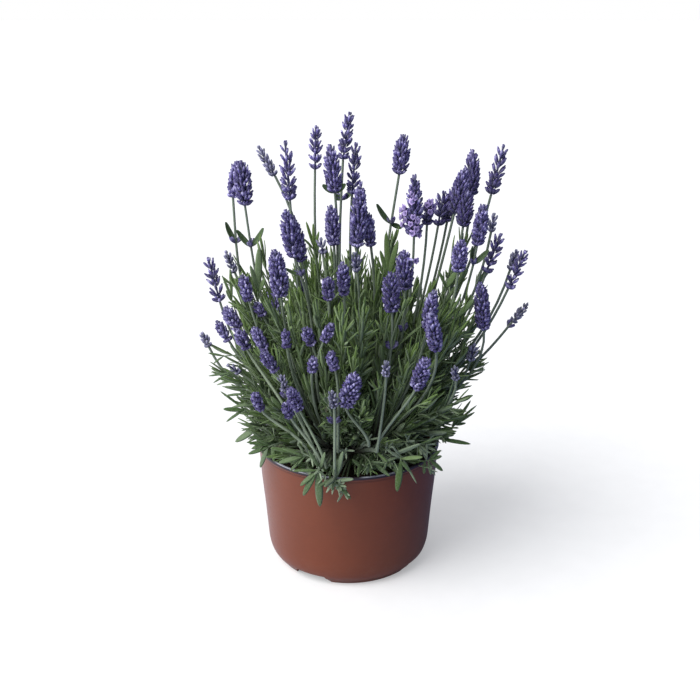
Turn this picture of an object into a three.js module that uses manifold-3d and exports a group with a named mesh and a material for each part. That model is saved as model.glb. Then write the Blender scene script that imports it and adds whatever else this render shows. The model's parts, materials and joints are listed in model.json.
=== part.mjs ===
// A pot of lavender, in millimetres: +Z up, -Y to the front, the origin in the middle of the pot's underside.
// A brown plastic nursery pot is filled with compost. Ten woody bunches stand in holes in the compost. Each
// bunch is one body: a short trunk, the leafy shoots and flower stalks that grow from it, their leaves and
// bracts, and the heads that are still small buds. The grown heads are bodies of their own, on their stalks.
import * as THREE from 'three';
import { mergeVertices } from 'three/addons/utils/BufferGeometryUtils.js';
import Module from 'manifold-3d';

const wasm = await Module();
wasm.setup();

// ---- Driving dimensions -----------------------------------------------------------------------------------

const FIT = 0.3; // clearance between two bodies that touch
const POT = { rim: 85, height: 117, foot: 68, wall: 1.6, floor: 2, sides: 32 };
const SOIL = { top: 104, dome: 4, lump: 1.2, shoulder: 64, crown: 40 };

// Drainage notches in the foot. Each is narrower at its top, and `turn` degrees from the front.
const NOTCH = { count: 4, width: 37, top: 29, height: 8.5, depth: 20, turn: 29 };

// The bunches stand on a ring. Each has a trunk, which widens to its crown and is sunk into the compost.
const BUNCH = { count: 10, turn: 0.2, ring: 30, radius: 3.4, crown: 9, sunk: 30, rise: 14, sides: 6 };

// A stem has three sides. Leaves are sunk into it and keep a gap to other bodies.
const STEM = { radius: 1, tip: 0.75, sides: 3, sunk: 3, gap: 3 };

// How far a stem keeps the directions of its ends, as shares of its span: outwards, upwards and into its end.
const BEND = { out: 0.42, up: 0.26, into: 0.36 };
const STALK_LEAN = 0.7; // how far a flower stalk leans to the front or the back, for its depth and height

// Leaves, bracts and the leaves at the tip of a shoot. `spread` is the slope at which they leave the stem.
const LEAF = { length: 38, width: 6, keel: 1.2, spread: 1.2, widest: 0.46, curl: 0.12, droop: 0.1 };
const BRACT = { length: 15, width: 5, spread: 1.2 };
const TIP_LEAF = { length: 30, width: 6, spread: 0.45 };

// A head narrower than `grown` is a bud in one piece with its stalk. One as wide as `full` has more calyces.
const HEAD = { grown: 5.6, full: 8, whorl: 10.5, seat: 1.6, waist: 0.58, top: 0.7 };

// A head's half width, as a share of its greatest, follows a stretch of a sine wave from its foot to its tip.
const SWELL = { least: 0.62, more: 0.38, from: 0.28, over: 0.72 };

// The fractions of this number's multiples scatter evenly, and are the same each time. SWAY says how far
// shoots and leaves stray by them from their even places.
const GOLDEN = (Math.sqrt(5) - 1) / 2;
const SWAY = { angle: 0.5, reach: 0.16, height: 26, rimHeight: 8, leafTurn: 0.8, leafLength: 0.3 };

// The camera that the photograph was taken with, found from the pot's outline: a pixel and a distance behind
// the pot's axis then give a place. The picture is 700 x 700 pixels.
const CAMERA = {
  side: 1.4,
  back: 857,
  height: 519,
  tilt: THREE.MathUtils.degToRad(20.2),
  focal: 1000,
  middle: 350,
};

// Each flower head, read from the photograph: the pixels of its foot and its tip, how far its foot stands
// behind the pot's axis (in front where negative), and its greatest half width, in millimetres. Some stalks
// carry one more whorl with a pair of bracts below the head, at the pixel `whorl`.
const HEADS = [
  { foot: [245, 206], tip: [241, 160], depth: -4, wide: 8.5, whorl: [251, 247] },
  { foot: [233, 198], tip: [237, 161], depth: 18, wide: 6.5, whorl: [236, 243] },
  { foot: [275, 176], tip: [258, 146], depth: 44, wide: 5.5 },
  { foot: [290, 201], tip: [285, 140], depth: -14, wide: 7.5 },
  { foot: [315, 170], tip: [316, 125], depth: 52, wide: 7 },
  { foot: [335, 193], tip: [330, 144], depth: 2, wide: 8 },
  { foot: [343, 160], tip: [350, 110], depth: 38, wide: 6.5, whorl: [341, 200] },
  { foot: [352, 195], tip: [356, 142], depth: 14, wide: 6.5 },
  { foot: [357, 248], tip: [361, 181], depth: -24, wide: 8 },
  { foot: [371, 247], tip: [366, 210], depth: -14, wide: 6 },
  { foot: [334, 246], tip: [331, 205], depth: -4, wide: 7.5 },
  { foot: [295, 258], tip: [285, 209], depth: -38, wide: 8, whorl: [301, 276] },
  { foot: [302, 262], tip: [291, 214], depth: -34, wide: 7 },
  { foot: [281, 297], tip: [275, 249], depth: -52, wide: 9 },
  { foot: [399, 175], tip: [404, 134], depth: 44, wide: 8.5, whorl: [391, 224] },
  { foot: [414, 236], tip: [415, 174], depth: -12, wide: 9 },
  { foot: [427, 225], tip: [428, 202], depth: -4, wide: 6 },
  { foot: [438, 226], tip: [444, 191], depth: 14, wide: 7.5 },
  { foot: [447, 222], tip: [453, 190], depth: 18, wide: 7 },
  { foot: [454, 214], tip: [465, 168], depth: 8, wide: 8 },
  { foot: [463, 227], tip: [468, 190], depth: 4, wide: 8 },
  { foot: [471, 196], tip: [473, 149], depth: 34, wide: 8 },
  { foot: [491, 195], tip: [504, 144], depth: 26, wide: 8 },
  { foot: [477, 246], tip: [484, 204], depth: -14, wide: 7 },
  { foot: [491, 232], tip: [494, 215], depth: 10, wide: 4.5 },
  { foot: [486, 273], tip: [501, 233], depth: -4, wide: 6.5 },
  { foot: [508, 289], tip: [526, 250], depth: 2, wide: 6.5 },
  { foot: [510, 270], tip: [516, 251], depth: 18, wide: 4 },
  { foot: [512, 322], tip: [529, 303], depth: 20, wide: 4.5, whorl: [508, 327] },
  { foot: [458, 272], tip: [461, 240], depth: -34, wide: 7.5 },
  { foot: [484, 330], tip: [480, 281], depth: -28, wide: 7.5 },
  { foot: [392, 312], tip: [390, 273], depth: -62, wide: 8.5 },
  { foot: [405, 290], tip: [404, 250], depth: -42, wide: 8.5 },
  { foot: [427, 329], tip: [434, 290], depth: -58, wide: 7 },
  { foot: [436, 351], tip: [431, 312], depth: -72, wide: 7 },
  { foot: [416, 388], tip: [427, 358], depth: -88, wide: 7.5 },
  { foot: [220, 302], tip: [208, 257], depth: -6, wide: 7.5 },
  { foot: [235, 273], tip: [226, 252], depth: 10, wide: 4.5 },
  { foot: [249, 301], tip: [242, 276], depth: -34, wide: 6 },
  { foot: [263, 316], tip: [256, 304], depth: -30, wide: 5 },
  { foot: [239, 329], tip: [225, 308], depth: -24, wide: 7 },
  { foot: [229, 341], tip: [217, 322], depth: -6, wide: 5 },
  { foot: [209, 347], tip: [203, 334], depth: 6, wide: 4.5 },
  { foot: [247, 349], tip: [238, 331], depth: -44, wide: 6 },
  { foot: [265, 349], tip: [254, 328], depth: -58, wide: 5.5 },
  { foot: [276, 371], tip: [262, 352], depth: -72, wide: 5.5 },
  { foot: [299, 409], tip: [290, 389], depth: -92, wide: 6 },
  { foot: [290, 416], tip: [285, 404], depth: -88, wide: 5 },
  { foot: [285, 390], tip: [281, 377], depth: -80, wide: 4.5, whorl: [287, 399] },
  { foot: [261, 409], tip: [254, 394], depth: -78, wide: 5 },
  { foot: [240, 373], tip: [229, 366], depth: -50, wide: 4 },
  { foot: [346, 405], tip: [356, 374], depth: -96, wide: 9 },
  { foot: [334, 407], tip: [332, 392], depth: -104, wide: 4.5, whorl: [334, 423] },
  { foot: [335, 369], tip: [330, 353], depth: -88, wide: 5 },
  { foot: [312, 371], tip: [313, 359], depth: -84, wide: 5 },
  { foot: [324, 341], tip: [332, 325], depth: -76, wide: 5 },
  { foot: [312, 345], tip: [305, 329], depth: -70, wide: 5.5 },
  { foot: [344, 295], tip: [343, 262], depth: -56, wide: 6 },
  { foot: [329, 300], tip: [328, 279], depth: -62, wide: 6 },
  { foot: [287, 347], tip: [285, 331], depth: -70, wide: 4 },
  { foot: [386, 376], tip: [386, 363], depth: -94, wide: 4 },
  { foot: [323, 254], tip: [321, 240], depth: -34, wide: 4.5 },
  { foot: [357, 272], tip: [355, 254], depth: -40, wide: 4.5 },
  { foot: [456, 380], tip: [455, 368], depth: -66, wide: 4 },
  { foot: [470, 361], tip: [474, 345], depth: -30, wide: 5 },
];

// The far side carries heads like those low on the near side: these rows of HEADS, turned half round.
const FAR_ROWS = [13, 31, 33, 34, 35, 40, 44, 46, 47, 51, 53, 55, 57, 58];
const FAR_TURN = Math.PI + 0.16;
const FAR_TALL = { above: 220, sink: 45 }; // heads with their foot above this height stand lower there

// Leafy shoots with no flower, in rings from the rim up to the crown. `reach` and `height` are where a shoot
// ends, and `rise` is the slope that it ends with.
const SHOOT_RINGS = [
  { count: 15, reach: 101, height: 133, rise: -0.35 },
  { count: 16, reach: 108, height: 190, rise: 0.6 },
  { count: 13, reach: 86, height: 252, rise: 1.7 },
  { count: 7, reach: 40, height: 284, rise: 4 },
];

// Shoots that hang over the front of the rim, read from the photograph: the pixel and depth of their ends.
const RIM_SHOOTS = [
  { end: [336, 476], depth: -98 },
  { end: [398, 470], depth: -94 },
];
const RIM_RISE = -0.9;

// The shares of a stem's length at its joints, where the leaves grow in pairs.
const SHOOT_JOINTS = [0.58, 0.83];
const STALK_JOINTS = [0.3, 0.62];

// ---- Helpers ----------------------------------------------------------------------------------------------

const vector = (x, y, z) => new THREE.Vector3(x, y, z);
const fraction = (value) => value - Math.floor(value);
const scatter = (number, salt) => fraction((number + 1) * GOLDEN * (1 + salt)) - 0.5; // -0.5 to 0.5

function solidOf(geometry) {
  const bare = geometry.clone();
  bare.deleteAttribute('normal');
  bare.deleteAttribute('uv');
  const merged = mergeVertices(bare, 1e-4);
  return new wasm.Manifold(new wasm.Mesh({
    numProp: 3,
    vertProperties: merged.attributes.position.array,
    triVerts: new Uint32Array(merged.index.array),
  }));
}

function meshOf(name, solid, material) {
  const { vertProperties, triVerts } = solid.getMesh();
  const geometry = new THREE.BufferGeometry();
  geometry.setAttribute('position', new THREE.BufferAttribute(vertProperties, 3));
  geometry.setIndex(new THREE.BufferAttribute(triVerts, 1));
  geometry.computeVertexNormals();
  const mesh = new THREE.Mesh(geometry, material);
  mesh.name = name;
  return mesh;
}

// A closed skin over rings of points, which run anticlockwise seen from the far end. A ring of one point
// closes to a tip, and any other end gets a flat cap.
function loft(rings) {
  const index = [];
  let start = 0;
  for (let i = 0; i + 1 < rings.length; i += 1) {
    const [low, high] = [rings[i].length, rings[i + 1].length];
    const next = start + low;
    for (let j = 0; j < Math.max(low, high); j += 1) {
      const [a, b] = [start + (j % low), start + ((j + 1) % low)];
      const [c, d] = [next + (j % high), next + ((j + 1) % high)];
      if (low > 1) index.push(a, b, c);
      if (high > 1) index.push(b, d, c);
    }
    start = next;
  }
  for (let j = 1; j + 1 < rings[0].length; j += 1) index.push(0, j + 1, j);
  for (let j = 1; j + 1 < rings.at(-1).length; j += 1) index.push(start, start + j, start + j + 1);
  const geometry = new THREE.BufferGeometry().setFromPoints(rings.flat());
  geometry.setIndex(index);
  return solidOf(geometry);
}

// Two directions square to a line: the first lies level, the second leans up.
function sideways(along) {
  const level = vector(0, 0, 1).cross(along);
  if (level.length() < 0.05) level.set(1, 0, 0);
  level.normalize();
  return [level, along.clone().cross(level).normalize()];
}

function ring(centre, along, radius, count, turn = 0) {
  const [level, up] = sideways(along);
  return Array.from({ length: count }, (_, i) => {
    const angle = turn + (i * 2 * Math.PI) / count;
    return centre.clone()
      .addScaledVector(level, radius * Math.cos(angle))
      .addScaledVector(up, radius * Math.sin(angle));
  });
}

const joined = (solids) => solids.reduce((whole, next) => whole.add(next));

// ---- The plan of the plant --------------------------------------------------------------------------------

// The place seen at a pixel of the photograph, a given distance behind the pot's axis.
function placeAt([across, down], depth) {
  const right = (across - CAMERA.middle) / CAMERA.focal;
  const up = (CAMERA.middle - down) / CAMERA.focal;
  const reach = (depth + CAMERA.back) / (Math.cos(CAMERA.tilt) + up * Math.sin(CAMERA.tilt));
  return vector(
    CAMERA.side + reach * right,
    depth,
    CAMERA.height + reach * (up * Math.cos(CAMERA.tilt) - Math.sin(CAMERA.tilt)),
  );
}

// The tip of a head and the whorl below it stand as far back or forward of its foot as the stalk leans.
function headFrom({ foot, tip, depth, wide, whorl }) {
  const base = placeAt(foot, depth);
  const lean = (STALK_LEAN * depth) / (base.z - SOIL.top);
  const onLine = (pixel) => placeAt(pixel, depth + lean * (placeAt(pixel, depth).z - base.z));
  return { foot: base, tip: onLine(tip), wide, whorl: whorl ? onLine(whorl) : null };
}

const turned = (point) => point.clone().applyAxisAngle(vector(0, 0, 1), FAR_TURN);
const nearHeads = HEADS.map(headFrom);
const farHeads = FAR_ROWS.map((row) => {
  const { foot, tip, wide } = nearHeads[row];
  const sink = vector(0, 0, foot.z > FAR_TALL.above ? -FAR_TALL.sink : 0);
  return { foot: turned(foot).add(sink), tip: turned(tip).add(sink), wide, whorl: null };
});
const heads = [...nearHeads, ...farHeads];
const isGrown = (head) => head.wide > HEAD.grown;

const bunchAngle = (number) => ((number + 0.5 + BUNCH.turn) * 2 * Math.PI) / BUNCH.count;
const bunchOf = ({ x, y }) => {
  const share = fraction(Math.atan2(y, x) / (2 * Math.PI) - BUNCH.turn / BUNCH.count);
  return Math.floor(share * BUNCH.count);
};
const bunchFoot = (number, height) => vector(
  BUNCH.ring * Math.cos(bunchAngle(number)),
  BUNCH.ring * Math.sin(bunchAngle(number)),
  height,
);

// A stem leaves its bunch outwards and ends at a point, in a given direction. Its joints are at shares of its
// length, and its course between them is straight.
function stemFrom(end, direction, joints) {
  const bunch = bunchOf(end);
  const start = bunchFoot(bunch, SOIL.top + BUNCH.rise);
  const span = end.clone().sub(start);
  const out = start.clone().add(vector(span.x * BEND.out, span.y * BEND.out, span.z * BEND.up));
  const into = end.clone().addScaledVector(direction, -BEND.into * span.length());
  const curve = new THREE.CubicBezierCurve3(start, out, into, end);
  return { bunch, points: [0, ...joints, 1].map((share) => curve.getPoint(share)) };
}

// A flower stalk ends just below a grown head, and inside a bud.
function stalkOf(head) {
  const direction = head.tip.clone().sub(head.foot).normalize();
  const end = head.foot.clone().addScaledVector(direction, isGrown(head) ? -FIT : 2);
  if (!head.whorl) return { ...stemFrom(end, direction, STALK_JOINTS), whorl: false };
  const { bunch, points } = stemFrom(head.whorl, head.foot.clone().sub(head.whorl).normalize(), STALK_JOINTS);
  return { bunch, points: [...points, end], whorl: true };
}

function shootsOf({ count, reach, height, rise }, row) {
  return Array.from({ length: count }, (_, i) => {
    const angle = ((i + 0.5 * row + SWAY.angle * scatter(i, row)) * 2 * Math.PI) / count;
    const out = reach * (1 + SWAY.reach * scatter(i, row + 1));
    const up = height + (row ? SWAY.height : SWAY.rimHeight) * scatter(i, row + 2);
    const end = vector(out * Math.cos(angle), out * Math.sin(angle), up);
    return stemFrom(end, vector(Math.cos(angle), Math.sin(angle), rise).normalize(), SHOOT_JOINTS);
  });
}

function rimShootOf({ end, depth }) {
  const place = placeAt(end, depth);
  const outwards = vector(place.x, place.y, 0).normalize();
  return stemFrom(place, outwards.setZ(RIM_RISE).normalize(), SHOOT_JOINTS);
}

const stalks = heads.map(stalkOf);
const shoots = [...SHOOT_RINGS.flatMap(shootsOf), ...RIM_SHOOTS.map(rimShootOf)];

// ---- The pot and the compost ------------------------------------------------------------------------------

// The outside of the pot, as radius and height, from the foot up to the rim.
const FOOT = [[POT.foot, 0], [POT.foot + 2, 1.5], [POT.foot + 3.6, 5], [POT.foot + 4.3, 5.6]];
const BELLY = [[POT.foot + 6.6, 9], [POT.foot + 8.4, 15], [POT.foot + 9.6, 26]];
const NECK = [POT.rim - 0.9, POT.height - 4];
const RIM = [[POT.rim, POT.height - 3.4], [POT.rim, POT.height], [POT.rim - 2.4, POT.height]];
const inside = (points, gap = 0) => points.map(([radius, height]) => [radius - POT.wall - gap, height]);

function lathe(outline) {
  const points = outline.map(([radius, height]) => new THREE.Vector2(radius, height));
  return new THREE.LatheGeometry(points, POT.sides).rotateX(Math.PI / 2);
}

function makePot() {
  const inner = [...inside([NECK, BELLY[2], BELLY[0]]), [POT.foot, POT.floor], [0, POT.floor]];
  const shell = solidOf(lathe([[0, 0], ...FOOT, ...BELLY, NECK, ...RIM, ...inner]));
  const [half, short] = [NOTCH.width / 2, NOTCH.top / 2];
  const slant = [[half, 0], [short, NOTCH.height], [-short, NOTCH.height], [-half, 0]];
  const outline = [[-half, -1], [half, -1], ...slant].map(([x, y]) => new THREE.Vector2(x, y));
  const shape = new THREE.Shape(outline);
  const notches = Array.from({ length: NOTCH.count }, (_, i) => solidOf(
    new THREE.ExtrudeGeometry(shape, { depth: NOTCH.depth, bevelEnabled: false })
      .rotateX(Math.PI / 2)
      .translate(0, NOTCH.depth * 0.4 - POT.foot, 0)
      .rotateZ((i * 2 * Math.PI) / NOTCH.count - THREE.MathUtils.degToRad(NOTCH.turn)),
  ));
  return notches.reduce((pot, notch) => pot.subtract(notch), shell);
}

// The compost fills the pot, with a low uneven dome on top and a plain hole for each bunch.
function makeCompost() {
  const slope = (NECK[0] - BELLY[2][0]) / (NECK[1] - BELLY[2][1]);
  const brink = [NECK[0] - (NECK[1] - SOIL.top + 2) * slope, SOIL.top - 2];
  const low = [[0, POT.floor + FIT], [POT.foot - 3, POT.floor + FIT]];
  const crown = [SOIL.crown, SOIL.top + SOIL.dome * 0.7];
  const top = [[SOIL.shoulder, SOIL.top], crown, [0, SOIL.top + SOIL.dome]];
  const geometry = lathe([...low, ...inside([BELLY[0], BELLY[2], brink], FIT), ...top]);
  const place = geometry.attributes.position;
  for (let i = 0; i < place.count; i += 1) {
    const [x, y, z] = [place.getX(i), place.getY(i), place.getZ(i)];
    const isUneven = z > SOIL.top - 1 && z < SOIL.top + SOIL.dome;
    if (isUneven) place.setZ(i, z + SOIL.lump * Math.sin(x * 0.19) * Math.cos(y * 0.23 + 1));
  }
  const bore = BUNCH.radius + 2 * FIT;
  const above = 20; // the hole's cutter ends well above the compost
  const depth = BUNCH.sunk + FIT + above;
  const holes = Array.from({ length: BUNCH.count }, (_, i) => solidOf(
    new THREE.CylinderGeometry(bore, bore, depth, BUNCH.sides)
      .rotateX(Math.PI / 2)
      .translate(...bunchFoot(i, SOIL.top - BUNCH.sunk - FIT + depth / 2).toArray()),
  ));
  return holes.reduce((compost, hole) => compost.subtract(hole), solidOf(geometry));
}

// ---- Leaves, stems and heads ------------------------------------------------------------------------------

// A leaf's midrib, at shares of its length: it bends towards `curl`.
const midrib = ({ root, along, curl, length }, shares) => shares.map((share) => root.clone()
  .addScaledVector(along, length * share)
  .addScaledVector(curl, length * share * share));

// A narrow leaf with a flat upper face and a keel below, from its root inside the stem to its tip.
function makeLeaf(leaf) {
  const [middle, tip] = midrib(leaf, [LEAF.widest, 1]);
  const [level, up] = sideways(leaf.along);
  const blade = [
    middle.clone().addScaledVector(level, leaf.width / 2),
    middle.clone().addScaledVector(level, -leaf.width / 2),
    middle.clone().addScaledVector(up, -LEAF.keel),
  ];
  return loft([[leaf.root], blade, [tip]]);
}

const grownAxes = heads.filter(isGrown).map((head) => ({
  line: new THREE.Line3(head.foot, head.tip),
  wide: head.wide,
}));

// A leaf may be inside its own bunch's sector, clear of the pot, the compost and every grown head.
function isClear(point, bunch, margin) {
  const [angle, half] = [bunchAngle(bunch), Math.PI / BUNCH.count];
  const forward = point.x * Math.cos(angle) + point.y * Math.sin(angle);
  const across = Math.abs(point.y * Math.cos(angle) - point.x * Math.sin(angle));
  if (forward * Math.sin(half) - across * Math.cos(half) < margin) return false;
  const radius = Math.hypot(point.x, point.y);
  if (radius < POT.rim + STEM.gap && point.z < POT.height + STEM.gap) {
    if (radius > NECK[0] - POT.wall - STEM.gap || point.z < SOIL.top + SOIL.dome + STEM.gap) return false;
  }
  return grownAxes.every(({ line, wide }) => line.closestPointToPoint(point, true, vector(0, 0, 0))
    .distanceTo(point) > wide + margin);
}

// A leaf that would run into something grows shorter or closer to the stem. These are the shares of its
// length and its spread that are tried in turn. Where even the last isn't clear, the leaf is left out.
const LEAF_TRIES = [[1, 1], [0.75, 1], [0.9, 0.55], [0.7, 0.35]];
const LEAF_PROBES = [0.3, 0.5, 0.7, 0.85, 1]; // the shares of a leaf's length that have to be clear

// A pair of leaves just before a joint, on opposite sides of the stem.
function leafPair({ bunch, points }, joint, number, { length, width, spread }) {
  const along = points[joint].clone().sub(points[joint - 1]).normalize();
  const root = points[joint].clone().addScaledVector(along, -STEM.sunk);
  const [level, up] = sideways(along);
  const turn = (joint % 2) * (Math.PI / 2) + SWAY.leafTurn * (scatter(number, 4) + 0.5);
  return [turn, turn + Math.PI].flatMap((angle, side) => {
    const out = level.clone().multiplyScalar(Math.cos(angle)).addScaledVector(up, Math.sin(angle));
    const longest = length * (1 + SWAY.leafLength * scatter(2 * number + side, joint));
    const tries = LEAF_TRIES.map(([size, opening]) => ({
      root,
      along: along.clone().addScaledVector(out, spread * opening).normalize(),
      curl: out.clone().multiplyScalar(LEAF.curl * opening).setZ(-LEAF.droop),
      length: longest * size,
      width,
    }));
    const leaf = tries.find((one) => midrib(one, LEAF_PROBES)
      .every((point) => isClear(point, bunch, width / 2 + 0.5)));
    return leaf ? [makeLeaf(leaf)] : [];
  });
}

function makeStem({ points }) {
  const last = points.length - 1;
  return loft(points.map((point, i) => {
    const [before, after] = [points[Math.max(i - 1, 0)], points[Math.min(i + 1, last)]];
    const along = after.clone().sub(before).normalize();
    return ring(point, along, THREE.MathUtils.lerp(STEM.radius, STEM.tip, i / last), STEM.sides);
  }));
}

function makeShoot(shoot, number) {
  const joints = SHOOT_JOINTS.map((_, i) => i + 1);
  const tip = leafPair(shoot, shoot.points.length - 1, number, TIP_LEAF);
  return [makeStem(shoot), ...joints.flatMap((joint) => leafPair(shoot, joint, number, LEAF)), ...tip];
}

// Every fourth flower stalk has a pair of leaves low down.
function makeStalk(stalk, number) {
  const low = number % 4 ? [] : leafPair(stalk, 1, number, LEAF);
  const bracts = stalk.whorl ? leafPair(stalk, stalk.points.length - 2, number, BRACT) : [];
  return [makeStem(stalk), ...low, ...bracts];
}

// A head in whorls: each whorl is a ring of pointed calyces that stand out and up from a narrow waist, turned
// by half a step from the whorl below. It swells from the foot and narrows to the tip.
function makeHead({ foot, tip, wide }) {
  const axis = tip.clone().sub(foot);
  const along = axis.clone().normalize();
  const count = wide >= HEAD.full ? 5 : 4;
  const whorls = Math.max(2, Math.round(axis.length() / HEAD.whorl));
  const rings = [ring(foot, along, HEAD.seat, count)];
  for (let i = 0; i < whorls; i += 1) {
    const isTop = i === whorls - 1;
    const wave = Math.sin(Math.PI * (SWELL.from + (SWELL.over * i) / whorls));
    const swell = wide * (SWELL.least + SWELL.more * wave) * (isTop ? HEAD.top : 1);
    const turn = ((i + 1) * Math.PI) / count;
    const tips = foot.clone().addScaledVector(axis, (i + 0.66) / whorls);
    rings.push(ring(tips, along, swell, count, turn));
    if (isTop) break;
    const waist = foot.clone().addScaledVector(axis, (i + 0.92) / whorls);
    rings.push(ring(waist, along, swell * HEAD.waist, count, turn + Math.PI / count));
  }
  return loft([...rings, [tip]]);
}

// ---- The parts of the plant -------------------------------------------------------------------------------

function makeBunch(number) {
  const levels = [
    [-BUNCH.sunk, BUNCH.radius],
    [SOIL.dome, BUNCH.radius],
    [BUNCH.rise, BUNCH.crown],
    [BUNCH.rise + BUNCH.crown * 0.7, BUNCH.crown * 0.5],
  ];
  const trunk = loft(levels.map(([height, radius]) => (
    ring(bunchFoot(number, SOIL.top + height), vector(0, 0, 1), radius, BUNCH.sides))));
  const ownStalks = stalks.flatMap((stalk, i) => (stalk.bunch === number ? makeStalk(stalk, i) : []));
  const ownShoots = shoots.flatMap((shoot, i) => (shoot.bunch === number ? makeShoot(shoot, i) : []));
  const buds = heads.filter((head, i) => !isGrown(head) && stalks[i].bunch === number).map(makeHead);
  return joined([trunk, ...ownStalks, ...ownShoots, ...buds]);
}

// Grown heads that touch one another are one body, named after all of them.
function makeHeadGroups() {
  const groups = [];
  heads.forEach((head, i) => {
    if (!isGrown(head)) return;
    let group = { numbers: [i + 1], solid: makeHead(head) };
    for (let j = groups.length - 1; j >= 0; j -= 1) {
      if (groups[j].solid.intersect(group.solid).volume() > 0.5) {
        const [other] = groups.splice(j, 1);
        group = { numbers: [...other.numbers, ...group.numbers], solid: other.solid.add(group.solid) };
      }
    }
    groups.push(group);
  });
  return groups.map(({ numbers, solid }) => ({
    name: `flower_head_${numbers.sort((a, b) => a - b).map((n) => String(n).padStart(2, '0')).join('_')}`,
    solid,
  }));
}

// ---- The model --------------------------------------------------------------------------------------------

const potPlastic = new THREE.MeshStandardMaterial({ color: 0x8e4a36, roughness: 0.38, metalness: 0 });
const darkCompost = new THREE.MeshStandardMaterial({ color: 0x1f1712, roughness: 0.95, metalness: 0 });
const greenery = new THREE.MeshStandardMaterial({ color: 0x5f7a4e, roughness: 0.7, metalness: 0 });
const violet = new THREE.MeshStandardMaterial({ color: 0x4a3f86, roughness: 0.75, metalness: 0 });

const lavender = new THREE.Group();
lavender.add(meshOf('pot', makePot(), potPlastic));
lavender.add(meshOf('compost', makeCompost(), darkCompost));
for (let i = 0; i < BUNCH.count; i += 1) lavender.add(meshOf(`leafy_bunch_${i + 1}`, makeBunch(i), greenery));
makeHeadGroups().forEach(({ name, solid }) => lavender.add(meshOf(name, solid, violet)));

export default lavender;
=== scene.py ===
"""A pot of lavender: a brown nursery pot, its compost, and ten woody clumps with leaves and flower spikes.

Lengths are in metres, +Z is up, and the origin is the middle of the pot's flat underside. -Y faces the
camera."""

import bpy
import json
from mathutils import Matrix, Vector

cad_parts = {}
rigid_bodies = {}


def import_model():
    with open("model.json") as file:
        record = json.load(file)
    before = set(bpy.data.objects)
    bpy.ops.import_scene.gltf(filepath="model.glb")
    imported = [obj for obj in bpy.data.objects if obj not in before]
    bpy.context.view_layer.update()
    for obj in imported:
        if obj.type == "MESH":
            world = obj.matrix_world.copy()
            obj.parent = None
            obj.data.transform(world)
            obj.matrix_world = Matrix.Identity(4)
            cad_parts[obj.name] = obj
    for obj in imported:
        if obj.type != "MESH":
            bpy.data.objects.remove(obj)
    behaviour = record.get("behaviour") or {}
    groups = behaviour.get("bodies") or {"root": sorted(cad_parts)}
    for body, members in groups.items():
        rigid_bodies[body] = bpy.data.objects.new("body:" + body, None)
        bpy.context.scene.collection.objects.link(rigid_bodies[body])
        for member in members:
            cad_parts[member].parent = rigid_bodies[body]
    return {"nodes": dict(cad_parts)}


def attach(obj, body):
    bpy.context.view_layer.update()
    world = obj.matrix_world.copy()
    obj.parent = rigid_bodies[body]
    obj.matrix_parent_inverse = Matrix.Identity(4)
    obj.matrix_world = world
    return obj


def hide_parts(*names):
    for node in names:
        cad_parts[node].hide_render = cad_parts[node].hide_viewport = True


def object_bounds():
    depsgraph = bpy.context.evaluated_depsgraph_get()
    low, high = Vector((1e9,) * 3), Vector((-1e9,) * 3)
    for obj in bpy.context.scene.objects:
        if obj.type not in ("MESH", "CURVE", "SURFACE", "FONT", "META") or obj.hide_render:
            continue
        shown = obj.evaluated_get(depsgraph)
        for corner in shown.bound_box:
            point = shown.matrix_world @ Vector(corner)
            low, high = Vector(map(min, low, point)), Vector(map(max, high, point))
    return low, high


bl_info = {
    "name": "Potted Lavender",
    "version": (1, 0, 0),
    "blender": (4, 5, 0),
    "location": "3D View > Sidebar > Lavender",
    "description": "Builds a lavender in bloom in its nursery pot, a piece at a time",
    "category": "Add Mesh",
}

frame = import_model()
CAD_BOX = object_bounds()

import json
import math
import random
from types import SimpleNamespace

import bpy
import numpy as np
from bpy.props import FloatProperty, FloatVectorProperty, IntProperty, PointerProperty
from mathutils import Matrix, Vector
from mathutils.geometry import interpolate_bezier

BODY = "root"
MM = 0.001
UP = Vector((0, 0, 1))
TURN = 2 * math.pi
SEED = 6353

# ---- The plan of the plant, with the places of the part's own ------------------------------------

POT_RIM = 0.085
POT_HEIGHT = 0.117
POT_FOOT = 0.068
POT_WALL = 0.0016
POT_FLOOR = 0.002
SOIL_TOP = 0.104
SOIL_DOME = 0.004
BUNCHES = 10
BUNCH_TURN = 0.2  # how far the first bunch is turned on, as a share of the space between two
BUNCH_RING = 0.030  # how far the bunches stand from the axis
BUNCH_RISE = 0.014  # how high above the compost the stems part
GOLDEN = (math.sqrt(5) - 1) / 2

# The camera that the photograph was taken with. A pixel of the square picture and a distance behind the
# pot's axis give a place.
CAMERA_SIDE = 0.0014
CAMERA_BACK = 0.857
CAMERA_HEIGHT = 0.519
CAMERA_TILT = math.radians(20.2)
FOCAL = 1000  # in pixels
PICTURE = 700
MIDDLE = PICTURE / 2

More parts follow.
